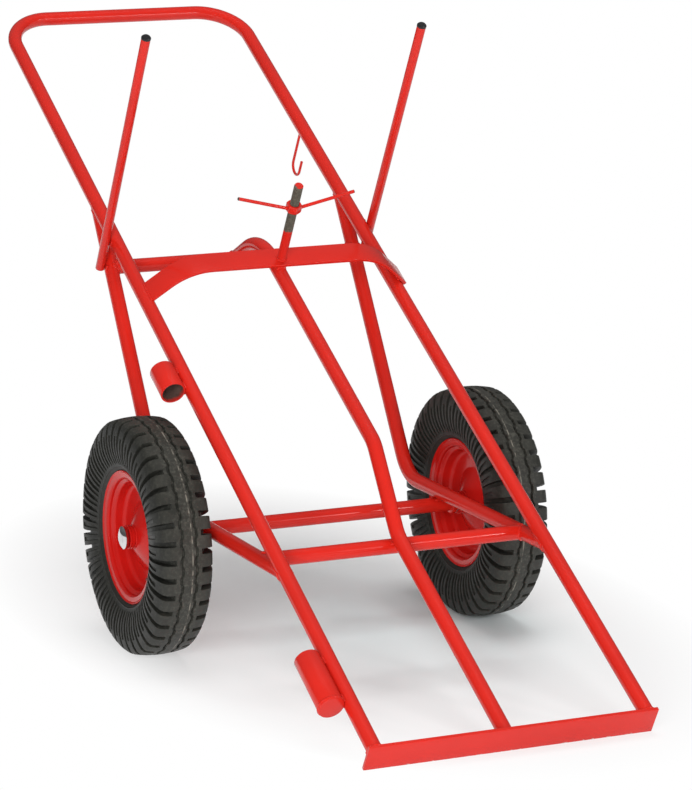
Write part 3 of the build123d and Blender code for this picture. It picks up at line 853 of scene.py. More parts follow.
def centre_corners():
    upper, (lower_s, lower_z) = cross_places()
    reach = RAMP_BEND + 2 * tube_r() + GAP
    low_z = lower_z + sqrt(reach**2 - RAMP_LEAD**2) - RAMP_BEND
    foot_s = lower_s - RAMP_LEAD + RAMP_BEND * tan(RAMP_ANGLE / 2)
    head_s = foot_s + (CENTRE_TOP - low_z) / tan(RAMP_ANGLE)
    line = ((TOE_THICK, low_z), (foot_s, low_z), (head_s, CENTRE_TOP), (ARCH_S, CENTRE_TOP), upper)
    return [(0, s, z) for s, z in line]


def bridge_corners():
    """Middle line of the bridge bar: butted on the left tube, lapped over the right one."""
    level = bridge_level()
    off = tube_r() + GAP + BRIDGE_THICK / 2
    rest_x = HALF_WIDTH + off * sin(BRIDGE_SLOPE)
    rest_z = off * cos(BRIDGE_SLOPE)
    right_x = rest_x - (level - rest_z) / tan(BRIDGE_SLOPE)
    left_x = 2 * BRIDGE_SHIFT - right_x
    run = (left_x + HALF_WIDTH) * cos(BRIDGE_SLOPE) + level * sin(BRIDGE_SLOPE)
    down = Vector((cos(BRIDGE_SLOPE), 0, -sin(BRIDGE_SLOPE)))
    left = Vector((left_x, BRIDGE_S, level))
    return (
        left - Vector((down.x, 0, -down.z)) * run, left, Vector((right_x, BRIDGE_S, level)),
        Vector((rest_x, BRIDGE_S, rest_z)) + down * BRIDGE_LAP,
    )


# Operators
class TROLLEY_OT_frame_tubes(Operator):
    """Model the bent tubes of the frame"""

    bl_idname = "trolley.frame_tubes"
    bl_label = "Frame Tubes"

    def execute(self, context):
        left, right = -HALF_WIDTH, HALF_WIDTH
        bow = (left, TOE_THICK, 0), (left, FRAME_LENGTH, 0), (right, FRAME_LENGTH, 0), (right, TOE_THICK, 0)
        tubes = [
            ("main_frame_tube", bow, (HANDLE_BEND, HANDLE_BEND)),
            ("centre_tube", centre_corners(), (RAMP_BEND, RAMP_BEND, ARCH_BEND)),
        ]
        tubes += [(f"{side}_strut", strut_corners(way * HALF_WIDTH), (STRUT_BEND,)) for side, way in SIDES]
        for name, place in zip(("upper_cross_tube", "lower_cross_tube"), cross_places()):
            tubes.append((name, ((left, *place), (right, *place)), ()))
        for name, corners, bends in tubes:
            on_frame(bent_tube(f"{name}_piece", corners, bends, tube_r()), name)
        return {"FINISHED"}


class TROLLEY_OT_flat_bars(Operator):
    """Model the bridge bar and the toe bar"""

    bl_idname = "trolley.flat_bars"
    bl_label = "Flat Bars"

    def execute(self, context):
        corners = bridge_corners()
        clear_selection()
        bpy.ops.mesh.primitive_plane_add(size=1, location=corners[0] * MM, rotation=facing(corners))
        bpy.context.object.scale = (BRIDGE_THICK * MM, BRIDGE_WIDTH * MM, 1)
        bridge = edit_new("bridge_bar_piece")
        bpy.ops.mesh.delete(type="ONLY_FACE")
        select_mesh()
        draw_along(corners, (BRIDGE_BEND, BRIDGE_BEND))
        close_ends()
        tidy_mesh()

        low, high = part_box("toe_bar")
        clear_selection()
        at = Vector((0, TOE_THICK / 2, TOE_TOP - TOE_WIDTH / 2)) * MM
        bpy.ops.mesh.primitive_cube_add(size=1, location=at)
        bpy.context.object.scale = (high.x - low.x, TOE_THICK * MM, TOE_WIDTH * MM)
        toe = edit_new("toe_bar_piece")
        bpy.ops.mesh.subdivide(number_cuts=3)
        for bar, name in ((bridge, "bridge_bar"), (toe, "toe_bar")):
            bevel(bar, BAR_EDGE, 4)
            on_frame(smooth(bar), name)
        return {"FINISHED"}


class TROLLEY_OT_side_arms(Operator):
    """Model the side arms and their plugs"""

    bl_idname = "trolley.side_arms"
    bl_label = "Side Arms"

    def execute(self, context):
        s, low_z = cross_places()[0]
        plug_places = {}
        for side, way in SIDES:
            x = way * arm_x()
            ends = ((x, s, low_z), (x, s, ARM_TOP))
            on_frame(bent_tube(f"{side}_arm_piece", ends, (), arm_r(), ARM_WALL), f"{side}_arm")
            plug_places[side] = BENCH @ shift(x, s, ARM_TOP)
        head = arm_r() + PLUG_LIP
        stem = arm_r() - ARM_WALL - PRESS_FIT
        end = -PLUG_LENGTH
        outline = [(0, end), (stem - PLUG_EDGE, end), (stem, end + PLUG_EDGE), (stem, 0), (arm_r(), 0)]
        outline += [(head, PLUG_LIP), *ball_cap(head, PLUG_BARREL, PLUG_DOME)]
        plug = smooth(turned("right_arm_plug_piece", outline, STUD_SIDES))
        both_sides(plug, "arm_plug", "black_plastic", plug_places, on_wheels=False)
        return {"FINISHED"}


class TROLLEY_OT_clamp(Operator):
    """Model the threaded clamp stud, its nut and the wings"""

    bl_idname = "trolley.clamp"
    bl_label = "Clamp"

    def execute(self, context):
        nut_place = BENCH @ shift(STUD_X, STUD_S, NUT_Z)
        complete(self.stud(), BENCH @ shift(STUD_X, STUD_S, 0), "frame", "thread_steel", "clamp_stud")
        complete(self.nut(), nut_place, "clamp_nut", "frame_paint", "clamp_nut")
        complete(self.wings(), nut_place, "clamp_nut", "frame_paint", "clamp_wings")
        return {"FINISHED"}

    def stud(self):
        """Core turned to the root of the thread, with a ridge screwed round it."""
        pitch = sizes().thread_pitch / MM
        foot_z = bridge_level() + BRIDGE_THICK / 2
        start_z = foot_z + STUD_SHANK
        root_r = STUD_R - THREAD_HEIGHT * pitch
        core = turned(
            "clamp_stud_piece",
            [(0, foot_z), (STUD_SHANK_R, foot_z), (STUD_SHANK_R, start_z), (root_r, start_z + 1),
             (root_r, STUD_TOP - STUD_EDGE), (root_r - STUD_EDGE, STUD_TOP), (0, STUD_TOP)],
            STUD_SIDES,
        )
        smooth(core)
        crest, sunk_r = THREAD_CREST / 2 * pitch, root_r - THREAD_SINK
        outline = [(sunk_r, -pitch / 2), (STUD_R, -crest), (STUD_R, crest), (sunk_r, pitch / 2)]
        ridge = drawn("clamp_stud_thread", [(r, start_z + z) for r, z in outline])
        bpy.ops.mesh.remove_doubles(threshold=MERGE)
        turns = int((STUD_TOP - 2 * STUD_EDGE - start_z) / pitch)
        modify(
            ridge, "SCREW", angle=2 * pi, screw_offset=pitch * MM, iterations=turns, steps=ROD_SIDES,
            render_steps=ROD_SIDES, use_merge_vertices=False, use_smooth_shade=True,
        )
        bpy.ops.object.mode_set(mode="EDIT")
        close_ends()
        tidy_mesh()
        smooth(ridge)
        return joined([core, ridge], "clamp_stud_piece")

    def nut(self):
        """Hexagon cut with a turned body, which chamfers its corners and leaves its bore."""
        corner_r = NUT_FLAT_R / cos(radians(30))
        slope = (corner_r - NUT_FLAT_R) * tan(radians(30))
        outside = corner_r + 0.01
        bore, mouth, top = NUT_BORE_R, NUT_BORE_R + NUT_CHAMFER, NUT_HEIGHT
        outline = [
            (mouth, 0), (NUT_FLAT_R, 0), (outside, slope), (outside, top - slope), (NUT_FLAT_R, top),
            (mouth, top), (bore, top - NUT_CHAMFER), (bore, NUT_CHAMFER),
        ]
        body = turned("clamp_nut_body", outline, NUT_SIDES)
        clear_selection()
        bpy.ops.mesh.primitive_cylinder_add(
            vertices=6, radius=corner_r * MM, depth=(top + 2) * MM, location=(0, 0, top / 2 * MM),
        )
        nut = edit_new("clamp_nut_piece")
        modify(nut, "BOOLEAN", operation="INTERSECT", object=body, solver="EXACT")
        hold(body)
        bpy.ops.object.delete()
        bevel(nut, TUBE_EDGE, 2, 25.0)
        return smooth(nut, 25.0)

    def wings(self):
        """Two rods that slope up from opposite flats of the nut, their tips rounded and bare."""
        length = hypot(WING_REACH, WING_RISE)
        start = NUT_FLAT_R * length / WING_REACH - WING_SINK
        tip = rounded([(WING_R, start, 0), (WING_R, length, WING_TIP), (0, length, 0)], 5)
        rods = []
        for side, way in reversed(SIDES):
            rod = smooth(turned(f"clamp_wing_{side}", [(0, start), *tip], ROD_SIDES))
            turn = turn_towards((way * WING_REACH, 0, WING_RISE)).to_matrix().to_4x4()
            rods.append(settle(rod, shift(0, 0, WING_ROOT) @ turn))
        wings = joined(rods, "clamp_wings_piece")
        bare_where(wings, lambda at: abs(at.x) > (WING_REACH - WING_BARE) * MM)
        return wings


class TROLLEY_OT_rod_holder(Operator):
    """Model the rod ring and the rod cup with its base"""

    bl_idname = "trolley.rod_holder"
    bl_label = "Rod Holder"

    def execute(self, context):
        x = holder_x()
        for name, (low, high) in (("rod_ring", RING_S), ("rod_cup", (CUP_S[0] + CUP_BASE, CUP_S[1]))):
            ends = ((x, low, 0), (x, high, 0))
            on_frame(bent_tube(f"{name}_piece", ends, (), HOLDER_R, HOLDER_WALL, AXLE_SIDES), name)
        low_bend, top_bend = CUP_BASE_BENDS
        corners = [(0, 0, 0), (HOLDER_R, 0, low_bend), (HOLDER_R, CUP_BASE, top_bend), (0, CUP_BASE, 0)]
        base = smooth(turned("rod_cup_base_piece", rounded(corners, 4), AXLE_SIDES))
        on_frame(base, "rod_cup_base", BENCH @ shift(x, CUP_S[0], 0) @ Matrix.Rotation(-pi / 2, 4, "X"))
        return {"FINISHED"}


class TROLLEY_OT_torch_hook(Operator):
    """Model the wire hook under the right side tube"""

    bl_idname = "trolley.torch_hook"
    bl_label = "Torch Hook"

    def execute(self, context):
        near, far, low = HOOK_S, HOOK_S - 2 * HOOK_BEND, HOOK_LOW - HOOK_BEND
        corners = [(HALF_WIDTH, s, z) for s, z in ((near, 0), (near, low), (far, low), (far, HOOK_TIP))]
        hook = bent_tube("torch_hook_piece", corners, (HOOK_BEND, HOOK_BEND), wire_r(), sides=WIRE_SIDES)
        bevel(hook, HOOK_EDGE, 3)
        on_frame(smooth(hook), "torch_hook")
        return {"FINISHED"}


class TROLLEY_OT_axle(Operator):
    """Model the axle, its stop rings, washers and clips"""

    bl_idname = "trolley.axle"
    bl_label = "Axle"

    def execute(self, context):
        half = [(AXLE_R, AXLE_REACH - AXLE_EDGE), (AXLE_R - AXLE_EDGE, AXLE_REACH), (0, AXLE_REACH)]
        outline = [(r, -u) for r, u in reversed(half)] + half
        on_frame(smooth(turned("axle_piece", outline, AXLE_SIDES)), "axle", lathe_matrix(AXLE_AT, 1))
        stop_u, washer_u = STOP_RING_U, WASHER_U
        self.pair("axle_stop_rings", WASHER_R, -stop_u - STOP_RING, -stop_u, "frame_paint")
        self.pair("inner_washers", WASHER_R, -stop_u, -washer_u, "zinc_steel")
        self.pair("outer_washers", WASHER_R, washer_u, stop_u, "zinc_steel")
        self.pair("axle_clips", CLIP_R, stop_u, stop_u + CLIP, "zinc_steel")
        return {"FINISHED"}

    def pair(self, name, outer_r, start, stop, slot):
        """Two like rings, one by each wheel."""
        inner_r = AXLE_R + PRESS_FIT
        outline = [(inner_r, start), (outer_r, start), (outer_r, stop), (inner_r, stop)]
        first = turned(f"{name}_right", outline, RING_SIDES)
        bevel(first, RING_EDGE)
        smooth(first)
        second = copy_of(first, f"{name}_left")
        rings = [settle(first, WHEEL_PLACE["right"]), settle(second, WHEEL_PLACE["left"])]
        complete(joined(rings, f"{name}_piece"), HERE, "frame", slot, name)


class TROLLEY_OT_tyres(Operator):
    """Model the tyres: grooved tread, notched shoulders and fluted sidewalls"""

    bl_idname = "trolley.tyres"
    bl_label = "Tyres"

    def execute(self, context):
        tyre = self.pitch()
        select_mesh()
        spin(LUGS - 1, 2 * pi * (LUGS - 1) / LUGS, dupli=True)
        tidy_mesh(5 * MERGE)
        bevel(tyre, LUG_EDGE, 1, 38.0)
        smooth(tyre, 30.0)
        to_notch = Matrix.Rotation(-NOTCH_MIDDLE * STEP, 4, "Z")
        places = {side: place @ to_notch for side, place in WHEEL_PLACE.items()}
        both_sides(tyre, "tyre", "tyre", places)
        return {"FINISHED"}

    def crown(self, u):
        """(r, u) on the tread's arc."""
        ball = (TREAD_HALF**2 + CROWN_DROP**2) / (2 * CROWN_DROP)
        return CROWN_R - ball + sqrt(ball**2 - u**2), u

    def wall(self, r, depth=0.0):
        """(r, u) on the sidewall, on the arc through bead, widest place and shoulder, or below it."""
        (u1, r1), (u2, r2), (u3, r3) = WALL_ARC
        d = 2 * (u1 * (r2 - r3) + u2 * (r3 - r1) + u3 * (r1 - r2))
        a, b, c = u1**2 + r1**2, u2**2 + r2**2, u3**2 + r3**2
        mid_u = (a * (r2 - r3) + b * (r3 - r1) + c * (r1 - r2)) / d
        mid_r = (a * (u3 - u2) + b * (u1 - u3) + c * (u2 - u1)) / d
        return r, mid_u + sqrt((u1 - mid_u) ** 2 + (r1 - mid_r) ** 2 - (r - mid_r) ** 2) - depth

    def section(self):
        """Right half of the tyre's section as (r, u), from the crown round to the cavity's top."""
        depth = sizes().groove_depth / MM
        near, far = GROOVE_EDGES
        tread = [self.crown(u) for u in (*CROWN_ROWS_U, near)]
        for u in GROOVE_FLOOR:
            r, _ = self.crown(u)
            tread.append((r - depth, u))
        tread += [self.crown(u) for u in (far, *TREAD_ROWS_U)]
        wall = [self.wall(r) for r in WALL_RADII]
        rib = [self.wall(r, -rise) for r, rise in BEAD_RIB]
        return [*tread, *SHOULDER, *wall, *rib, *BEAD_FOOT, *CAVITY]

    def pitch(self):
        """One lug pitch of the tyre, in edit mode."""
        half = self.section()
        tyre = drawn("right_tyre_piece", half + [(r, -u) for r, u in reversed(half[1:-1])])
        bpy.ops.mesh.remove_doubles(threshold=MERGE)
        select_mesh()
        spin(STEPS, STEPS * STEP)
        select_mesh()
        bpy.ops.mesh.normals_make_consistent(inside=False)
        for way, (notch_from, flute_from) in ((1, RIGHT_STARTS), (-1, LEFT_STARTS)):
            self.notch(tyre, way, notch_from)
            self.flute(tyre, way, flute_from)
        self.wave(tyre)
        return tyre

    def place_of(self, point, way=1):
        """Step round the pitch, r and u of a point."""
        return atan2(point.y, point.x) / STEP, hypot(point.x, point.y) / MM, way * point.z / MM

    def on_wall(self, r, u):
        return r > RIB_R and u > self.wall(r, 1.0)[1]

    def notch(self, tyre, way, first):
        """Cut between two lugs, from the tread over the shoulder and down the sidewall."""

        def between_lugs(face):
            step, r, u = self.place_of(face.calc_center_median(), way)
            outside = r > SHOULDER[1][0] - 1 or self.on_wall(r, u)
            return first < step < first + NOTCH_STEPS and u > NOTCH_U and outside

        rows = [*(self.crown(u) for u in TREAD_ROWS_U), *SHOULDER, *(self.wall(r) for r in WALL_RADII)]
        floors = [*NOTCH_FLOOR, *(self.wall(r, depth) for r, depth in zip(WALL_RADII[2:], NOTCH_DEPTHS))]
        self.press(tyre, between_lugs, way, rows, floors)

    def flute(self, tyre, way, first):
        """Hollow in the sidewall below a lug."""
        radii = WALL_RADII[1:]

        def below_lug(face):
            step, r, u = self.place_of(face.calc_center_median(), way)
            return first < step < first + FLUTE_STEPS and r < radii[0] and self.on_wall(r, u)

        depth = sizes().flute_depth / MM
        floors = [self.wall(r, depth * share) for r, share in zip(radii, FLUTE_SHARES)]
        self.press(tyre, below_lug, way, [self.wall(r) for r in radii], floors)

    def press(self, tyre, wanted, way, rows, floors):
        """Extrude the wanted faces and take each row of their corners down to its floor."""
        pick(tyre, "FACE", wanted)
        bpy.ops.mesh.extrude_region_move(TRANSFORM_OT_translate={"value": (0, 0, 0)})
        mesh = bmesh.from_edit_mesh(tyre.data)
        mesh.verts.index_update()
        pressed = {corner.index for corner in mesh.verts if corner.select}
        for (r, u), (floor_r, floor_u) in zip(rows, floors):
            if abs(r - floor_r) + abs(u - floor_u) < 0.01:
                continue

            def on_row(corner):
                _, corner_r, corner_u = self.place_of(corner.co, way)
                return corner.index in pressed and hypot(corner_r - r, corner_u - u) < 0.05

            pick(tyre, "VERT", on_row)
            bpy.ops.transform.resize(value=(floor_r / r, floor_r / r, 1), center_override=(0, 0, 0))
            bpy.ops.transform.translate(value=(0, 0, way * (floor_u - u) * MM))

    def wave(self, tyre):
        """Wave of the two tread grooves, one to a lug."""
        near, far = GROOVE_EDGES
        for step in range(STEPS + 1):

            def on_groove(corner):
                corner_step, r, u = self.place_of(corner.co)
                in_groove = near - 1 < abs(u) < far + 1 and r > SHOULDER[1][0]
                return in_groove and abs(corner_step - step) < 0.3

            pick(tyre, "VERT", on_groove)
            turn = 2 * pi * step / STEPS
            aside = WAVE_LONG * sin(turn) + WAVE_SHORT * sin(3 * turn)
            bpy.ops.transform.translate(value=(0, 0, aside * MM))


class TROLLEY_OT_wheels(Operator):
    """Model the rims, hubs, hub caps and valves"""

    bl_idname = "trolley.wheels"
    bl_label = "Wheels"

    def execute(self, context):
        hub = self.hub()
        outer = self.rim()
        inner = settle(copy_of(outer, "inner_rim_piece"), Matrix.Rotation(pi, 4, "Y"))
        cap = self.cap()
        valve = self.valve()
        for name, piece in (("outer_rim", outer), ("inner_rim", inner), ("hub", hub)):
            both_sides(piece, name, "wheel_paint", WHEEL_PLACE)
        both_sides(cap, "hub_cap", "chrome", WHEEL_PLACE)
        both_sides(valve, "valve_stem", "rubber", WHEEL_PLACE)
        return {"FINISHED"}

    def hub(self):
        """Hub tube with two collars at each end."""
        half = [(HUB_R, 0)]
        for u in COLLARS_U:
            top_r, end = HUB_R + COLLAR_RISE, u + COLLAR_WIDTH
            half += [(HUB_R, u), (top_r, u + COLLAR_SLOPE), (top_r, end - COLLAR_SLOPE), (HUB_R, end)]
        half += [(HUB_R, HUB_HALF - HUB_EDGE), (HUB_R - HUB_EDGE, HUB_HALF), (HUB_BORE_R, HUB_HALF)]
        return smooth(turned("hub_piece", [(r, -u) for r, u in reversed(half[1:])] + half, HUB_SIDES))

    def rim(self):
        """Pressed half of a rim: cone, disc, well, bead seat and rolled lip, given its sheet's thickness."""
        rim = turned("outer_rim_piece", rounded(RIM_LINE, 6), RIM_SIDES, closed=False)
        modify(rim, "SOLIDIFY", thickness=RIM_SHEET * MM, offset=0.0)
        bevel(rim, RIM_EDGE)
        return smooth(rim)

    def cap(self):
        """Thin domed cap with a small flange, pushed over the hub's end."""
        inner_r = HUB_R + PRESS_FIT
        outer_r = inner_r + CAP_WALL
        skirt_r = outer_r - CAP_LIP
        skirt_u, lip_u = HUB_HALF - CAP_SKIRT, HUB_HALF + CAP_BARREL
        dome = ball_cap(skirt_r, lip_u + CAP_STEP, CAP_DOME - CAP_STEP)
        lip = [(outer_r, lip_u), (outer_r, lip_u - 2 * CAP_LIP), (skirt_r, lip_u - 3 * CAP_LIP)]
        inside = [(skirt_r, skirt_u), (inner_r, skirt_u), *ball_cap(inner_r, lip_u, CAP_DOME - CAP_WALL)]
        return smooth(turned("hub_cap_piece", dome[::-1] + lip + inside, HUB_SIDES), 50.0)

    def valve(self):
        """Rubber valve with a collar at the rim and a cap."""
        valve = smooth(turned("valve_stem_piece", VALVE_LINE, ROD_SIDES))
        turn = turn_towards((cos(VALVE_ANGLE), sin(VALVE_ANGLE), 0)).to_matrix().to_4x4()
        return settle(valve, shift(0, 0, VALVE_U) @ turn)


class TROLLEY_OT_weld_beads(Operator):
    """Lay the weld beads of the frame, the clamp nut and the wheels"""

    bl_idname = "trolley.weld_beads"
    bl_label = "Weld Beads"

    def execute(self, context):
        rings, runs = self.frame_lines()
        self.lay("frame_welds", rings, runs, sizes().weld_radius / MM, BENCH, "frame", "frame_paint")

        length = hypot(WING_REACH, WING_RISE)
        roots = []
        for way in (1, -1):
            slant = Vector((way * WING_REACH, 0, WING_RISE)) / length
            at = UP * WING_ROOT + slant * (NUT_FLAT_R * length / WING_REACH + 0.2)
            roots.append(self.circle(at, slant, WING_R))
        place = BENCH @ shift(STUD_X, STUD_S, NUT_Z)
        self.lay("clamp_nut_welds", roots, [], NUT_BEAD_R, place, "clamp_nut", "frame_paint")

        for side, place in WHEEL_PLACE.items():
            rings = [self.circle(UP * way * (RIM_CONE_U + 1.4), UP, HUB_R + 0.4) for way in (1, -1)]
            self.lay(f"{side}_wheel_welds", rings, [], WHEEL_BEAD_R, place, f"{side}_wheel", "wheel_paint")
        return {"FINISHED"}

    def lay(self, name, rings, runs, radius, place, body, slot):
        """Lay beads along closed rings and open runs, as one piece."""
        beads = [self.bead(line, radius, True) for line in rings]
        beads += [self.bead(line, radius, False) for line in runs]
        complete(joined(beads, name), place, body, slot)

    def bead(self, line, radius, closed):
        """Rippled bead along a line of points."""
        points = self.even(line, closed)
        curve = bpy.data.curves.new("bead", "CURVE")
        curve.dimensions = "3D"
        curve.bevel_depth = radius * MM
        curve.bevel_resolution = 2
        curve.use_fill_caps = not closed
        spline = curve.splines.new("POLY")
        spline.points.add(len(points) - 1)
        spline.use_cyclic_u = closed
        for index, (corner, point) in enumerate(zip(spline.points, points)):
            corner.co = (*(point * MM), 1)
            corner.radius = BEAD_RIPPLE[index % len(BEAD_RIPPLE)] * (1 + 0.08 * sin(index * 0.9))
        if not closed:
            spline.points[0].radius = spline.points[-1].radius = BEAD_END
        piece = bpy.data.objects.new("bead", curve)
        bpy.context.collection.objects.link(piece)
        hold(piece)
        bpy.ops.object.convert(target="MESH")
        piece = bpy.context.object
        bpy.ops.object.mode_set(mode="EDIT")
        tidy_mesh()
        return smooth(piece, 80.0)

    def even(self, line, closed):
        """Points at even steps along a line, a whole number of ripples round a closed one."""
        points = [Vector(point) for point in line]
        if closed:
            points.append(points[0])
        lengths = [(b - a).length for a, b in zip(points, points[1:])]
        ripple = len(BEAD_RIPPLE)
        count = max(3, round(sum(lengths) / BEAD_STEP / ripple)) * ripple
        found, index, gone = [], 0, 0.0
        for number in range(count if closed else count + 1):
            stop = sum(lengths) * number / count
            while index < len(lengths) - 1 and gone + lengths[index] < stop:
                gone += lengths[index]
                index += 1
            found.append(points[index].lerp(points[index + 1], min(1.0, (stop - gone) / lengths[index])))
        return found

    def circle(self, at, axis, radius, steps=48):
        first = axis.orthogonal().normalized()
        second = axis.cross(first).normalized()
        angles = [2 * pi * step / steps for step in range(steps)]
        return [Vector(at) + (first * cos(angle) + second * sin(angle)) * radius for angle in angles]

    def saddle(self, foot, away, branch_r, way, steps=60):
        """Line where a tube that leaves foot meets a frame tube along way through foot."""
        away, way = away.normalized(), way.normalized()
        first = away.cross(way).normalized()
        second = away.cross(first)
        square = away - way * away.dot(way)
        line = []
        for step in range(steps):
            angle = 2 * pi * step / steps
            off = (first * cos(angle) + second * sin(angle)) * branch_r
            flat = off - way * off.dot(way)
            a, b, c = square.dot(square), 2 * square.dot(flat), flat.dot(flat) - tube_r() ** 2
            reach = (-b + sqrt(max(0.0, b * b - 4 * a * c))) / (2 * a)
            line.append(Vector(foot) + off + away * reach)
        return line

    def run(self, at, way, back, ahead):
        """Straight line both ways from a place."""
        return [Vector(at) - way * back, Vector(at) + way * ahead]

    def frame_lines(self):
        """Closed rings and open runs of the frame's beads, on the bench."""
        r = tube_r()
        upper, lower = cross_places()
        centre = [Vector(corner) for corner in centre_corners()]
        feet = ((-HALF_WIDTH, 0), (HALF_WIDTH, 0), (0, centre[0].z))
        rings = [self.circle((x, TOE_THICK + 0.5, z), ALONG, r) for x, z in feet]
        rings.append(self.saddle(centre[-1], centre[-2] - centre[-1], r, ACROSS))
        rings.append(self.circle((holder_x(), CUP_S[0] + CUP_BASE, 0), ALONG, HOLDER_R - 0.9))
        rings.append(self.circle((HALF_WIDTH, HOOK_S, -r), UP, wire_r()))
        rings.append(self.circle((STUD_X, STUD_S, bridge_level() + BRIDGE_THICK / 2), UP, STUD_R))
        runs = self.bridge_runs() + self.holder_runs()
        for off in (-CENTRE_BEAD_OFF, CENTRE_BEAD_OFF):
            at = (off, lower[0] - 2.5, lower[1] + r + 0.3 - BEAD_SINK)
            runs.append(self.run(at, ALONG, SHORT_BEAD, SHORT_BEAD))
        for _, way in SIDES:
            x = way * HALF_WIDTH
            top, apex, low = (Vector(corner) for corner in strut_corners(x))
            rings.append(self.saddle(top, apex - top, r - BEAD_SINK, ALONG))
            rings.append(self.saddle(low, apex - low, r, ALONG))
            rings.append(self.saddle((x, *upper), -way * ACROSS, r, apex - top))
            rings.append(self.saddle((x, *lower), -way * ACROSS, r, apex - low))
            runs += self.axle_runs(x, (apex - low).normalized())
            arm_face = way * (HALF_WIDTH + r - BEAD_SINK)
            for s in (UPPER_CROSS_S - ARM_BEAD_OFF, UPPER_CROSS_S + ARM_BEAD_OFF):
                runs.append(self.run((arm_face, s, 0), UP, SHORT_BEAD, SHORT_BEAD))
                runs.append(self.run((arm_face, s, upper[1] + 4), UP, 4, SHORT_BEAD))
        return rings, runs

    def axle_runs(self, x, level):
        """Beads along both sides of the axle, under a strut."""
        axle = Vector(BENCH.inverted() @ AXLE_AT) / MM
        middle = axle + ACROSS * x + BENCH.to_3x3().inverted() @ UP * (AXLE_R - 2.4)
        offs = (-AXLE_BEAD_OFF, AXLE_BEAD_OFF)
        return [self.run(middle + level * off, ACROSS, AXLE_BEAD, AXLE_BEAD) for off in offs]

    def holder_runs(self):
        """Beads of the rod ring and the rod cup on the left side tube."""
        x = -(HALF_WIDTH + tube_r() - 0.5)
        offs = (-HOLDER_BEAD_OFF, HOLDER_BEAD_OFF)
        return [self.run((x, s, z), ALONG, 0, HOLDER_BEAD) for s in HOLDER_BEADS_S for z in offs]

    def bridge_runs(self):
        """Beads of the bridge bar on the three tubes."""
        r = tube_r()
        left_end, left, right, right_end = bridge_corners()
        half, under = BRIDGE_WIDTH / 2 - 1, BRIDGE_THICK / 2 + 1.4
        places = [Vector((x, BRIDGE_S, left.z - under)) for x in (-BRIDGE_BEAD_OFF, BRIDGE_BEAD_OFF)]
        down = (left_end - left).normalized()
        normal = Vector((down.z, 0, -down.x))
        axis_off = (Vector((-HALF_WIDTH, BRIDGE_S, 0)) - left).dot(normal)
        for face in (-BRIDGE_THICK / 2, BRIDGE_THICK / 2):
            places.append(left_end - down * sqrt(r**2 - (face - axis_off) ** 2) + normal * face)
        slope = (right_end - right).normalized()
        for off in (-BRIDGE_BEAD_OFF, LAP_BEAD_OFF):
            places.append(right_end + slope * (off - BRIDGE_LAP) + Vector((slope.z, 0, -slope.x)) * under)
        runs = [self.run(place, ALONG, half, half) for place in places]
        for s in (BRIDGE_S - half - 1.5, BRIDGE_S + half + 1.5):
            runs.append([(x, s, CENTRE_TOP + sqrt(r**2 - x**2)) for x in range(-9, 10, 3)])
        return runs


class TROLLEY_OT_kept_nodes(Operator):
    """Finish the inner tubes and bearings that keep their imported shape"""

    bl_idname = "trolley.kept_nodes"
    bl_label = "Inner Tubes and Bearings"

    def execute(self, context):
        for side, _ in SIDES:
            for name, slot in (("inner_tube", "rubber"), ("bearings", "zinc_steel")):
                materials = frame["nodes"][f"{side}_{name}"].data.materials
                materials.clear()
                materials.append(finish_for(slot))
        return {"FINISHED"}


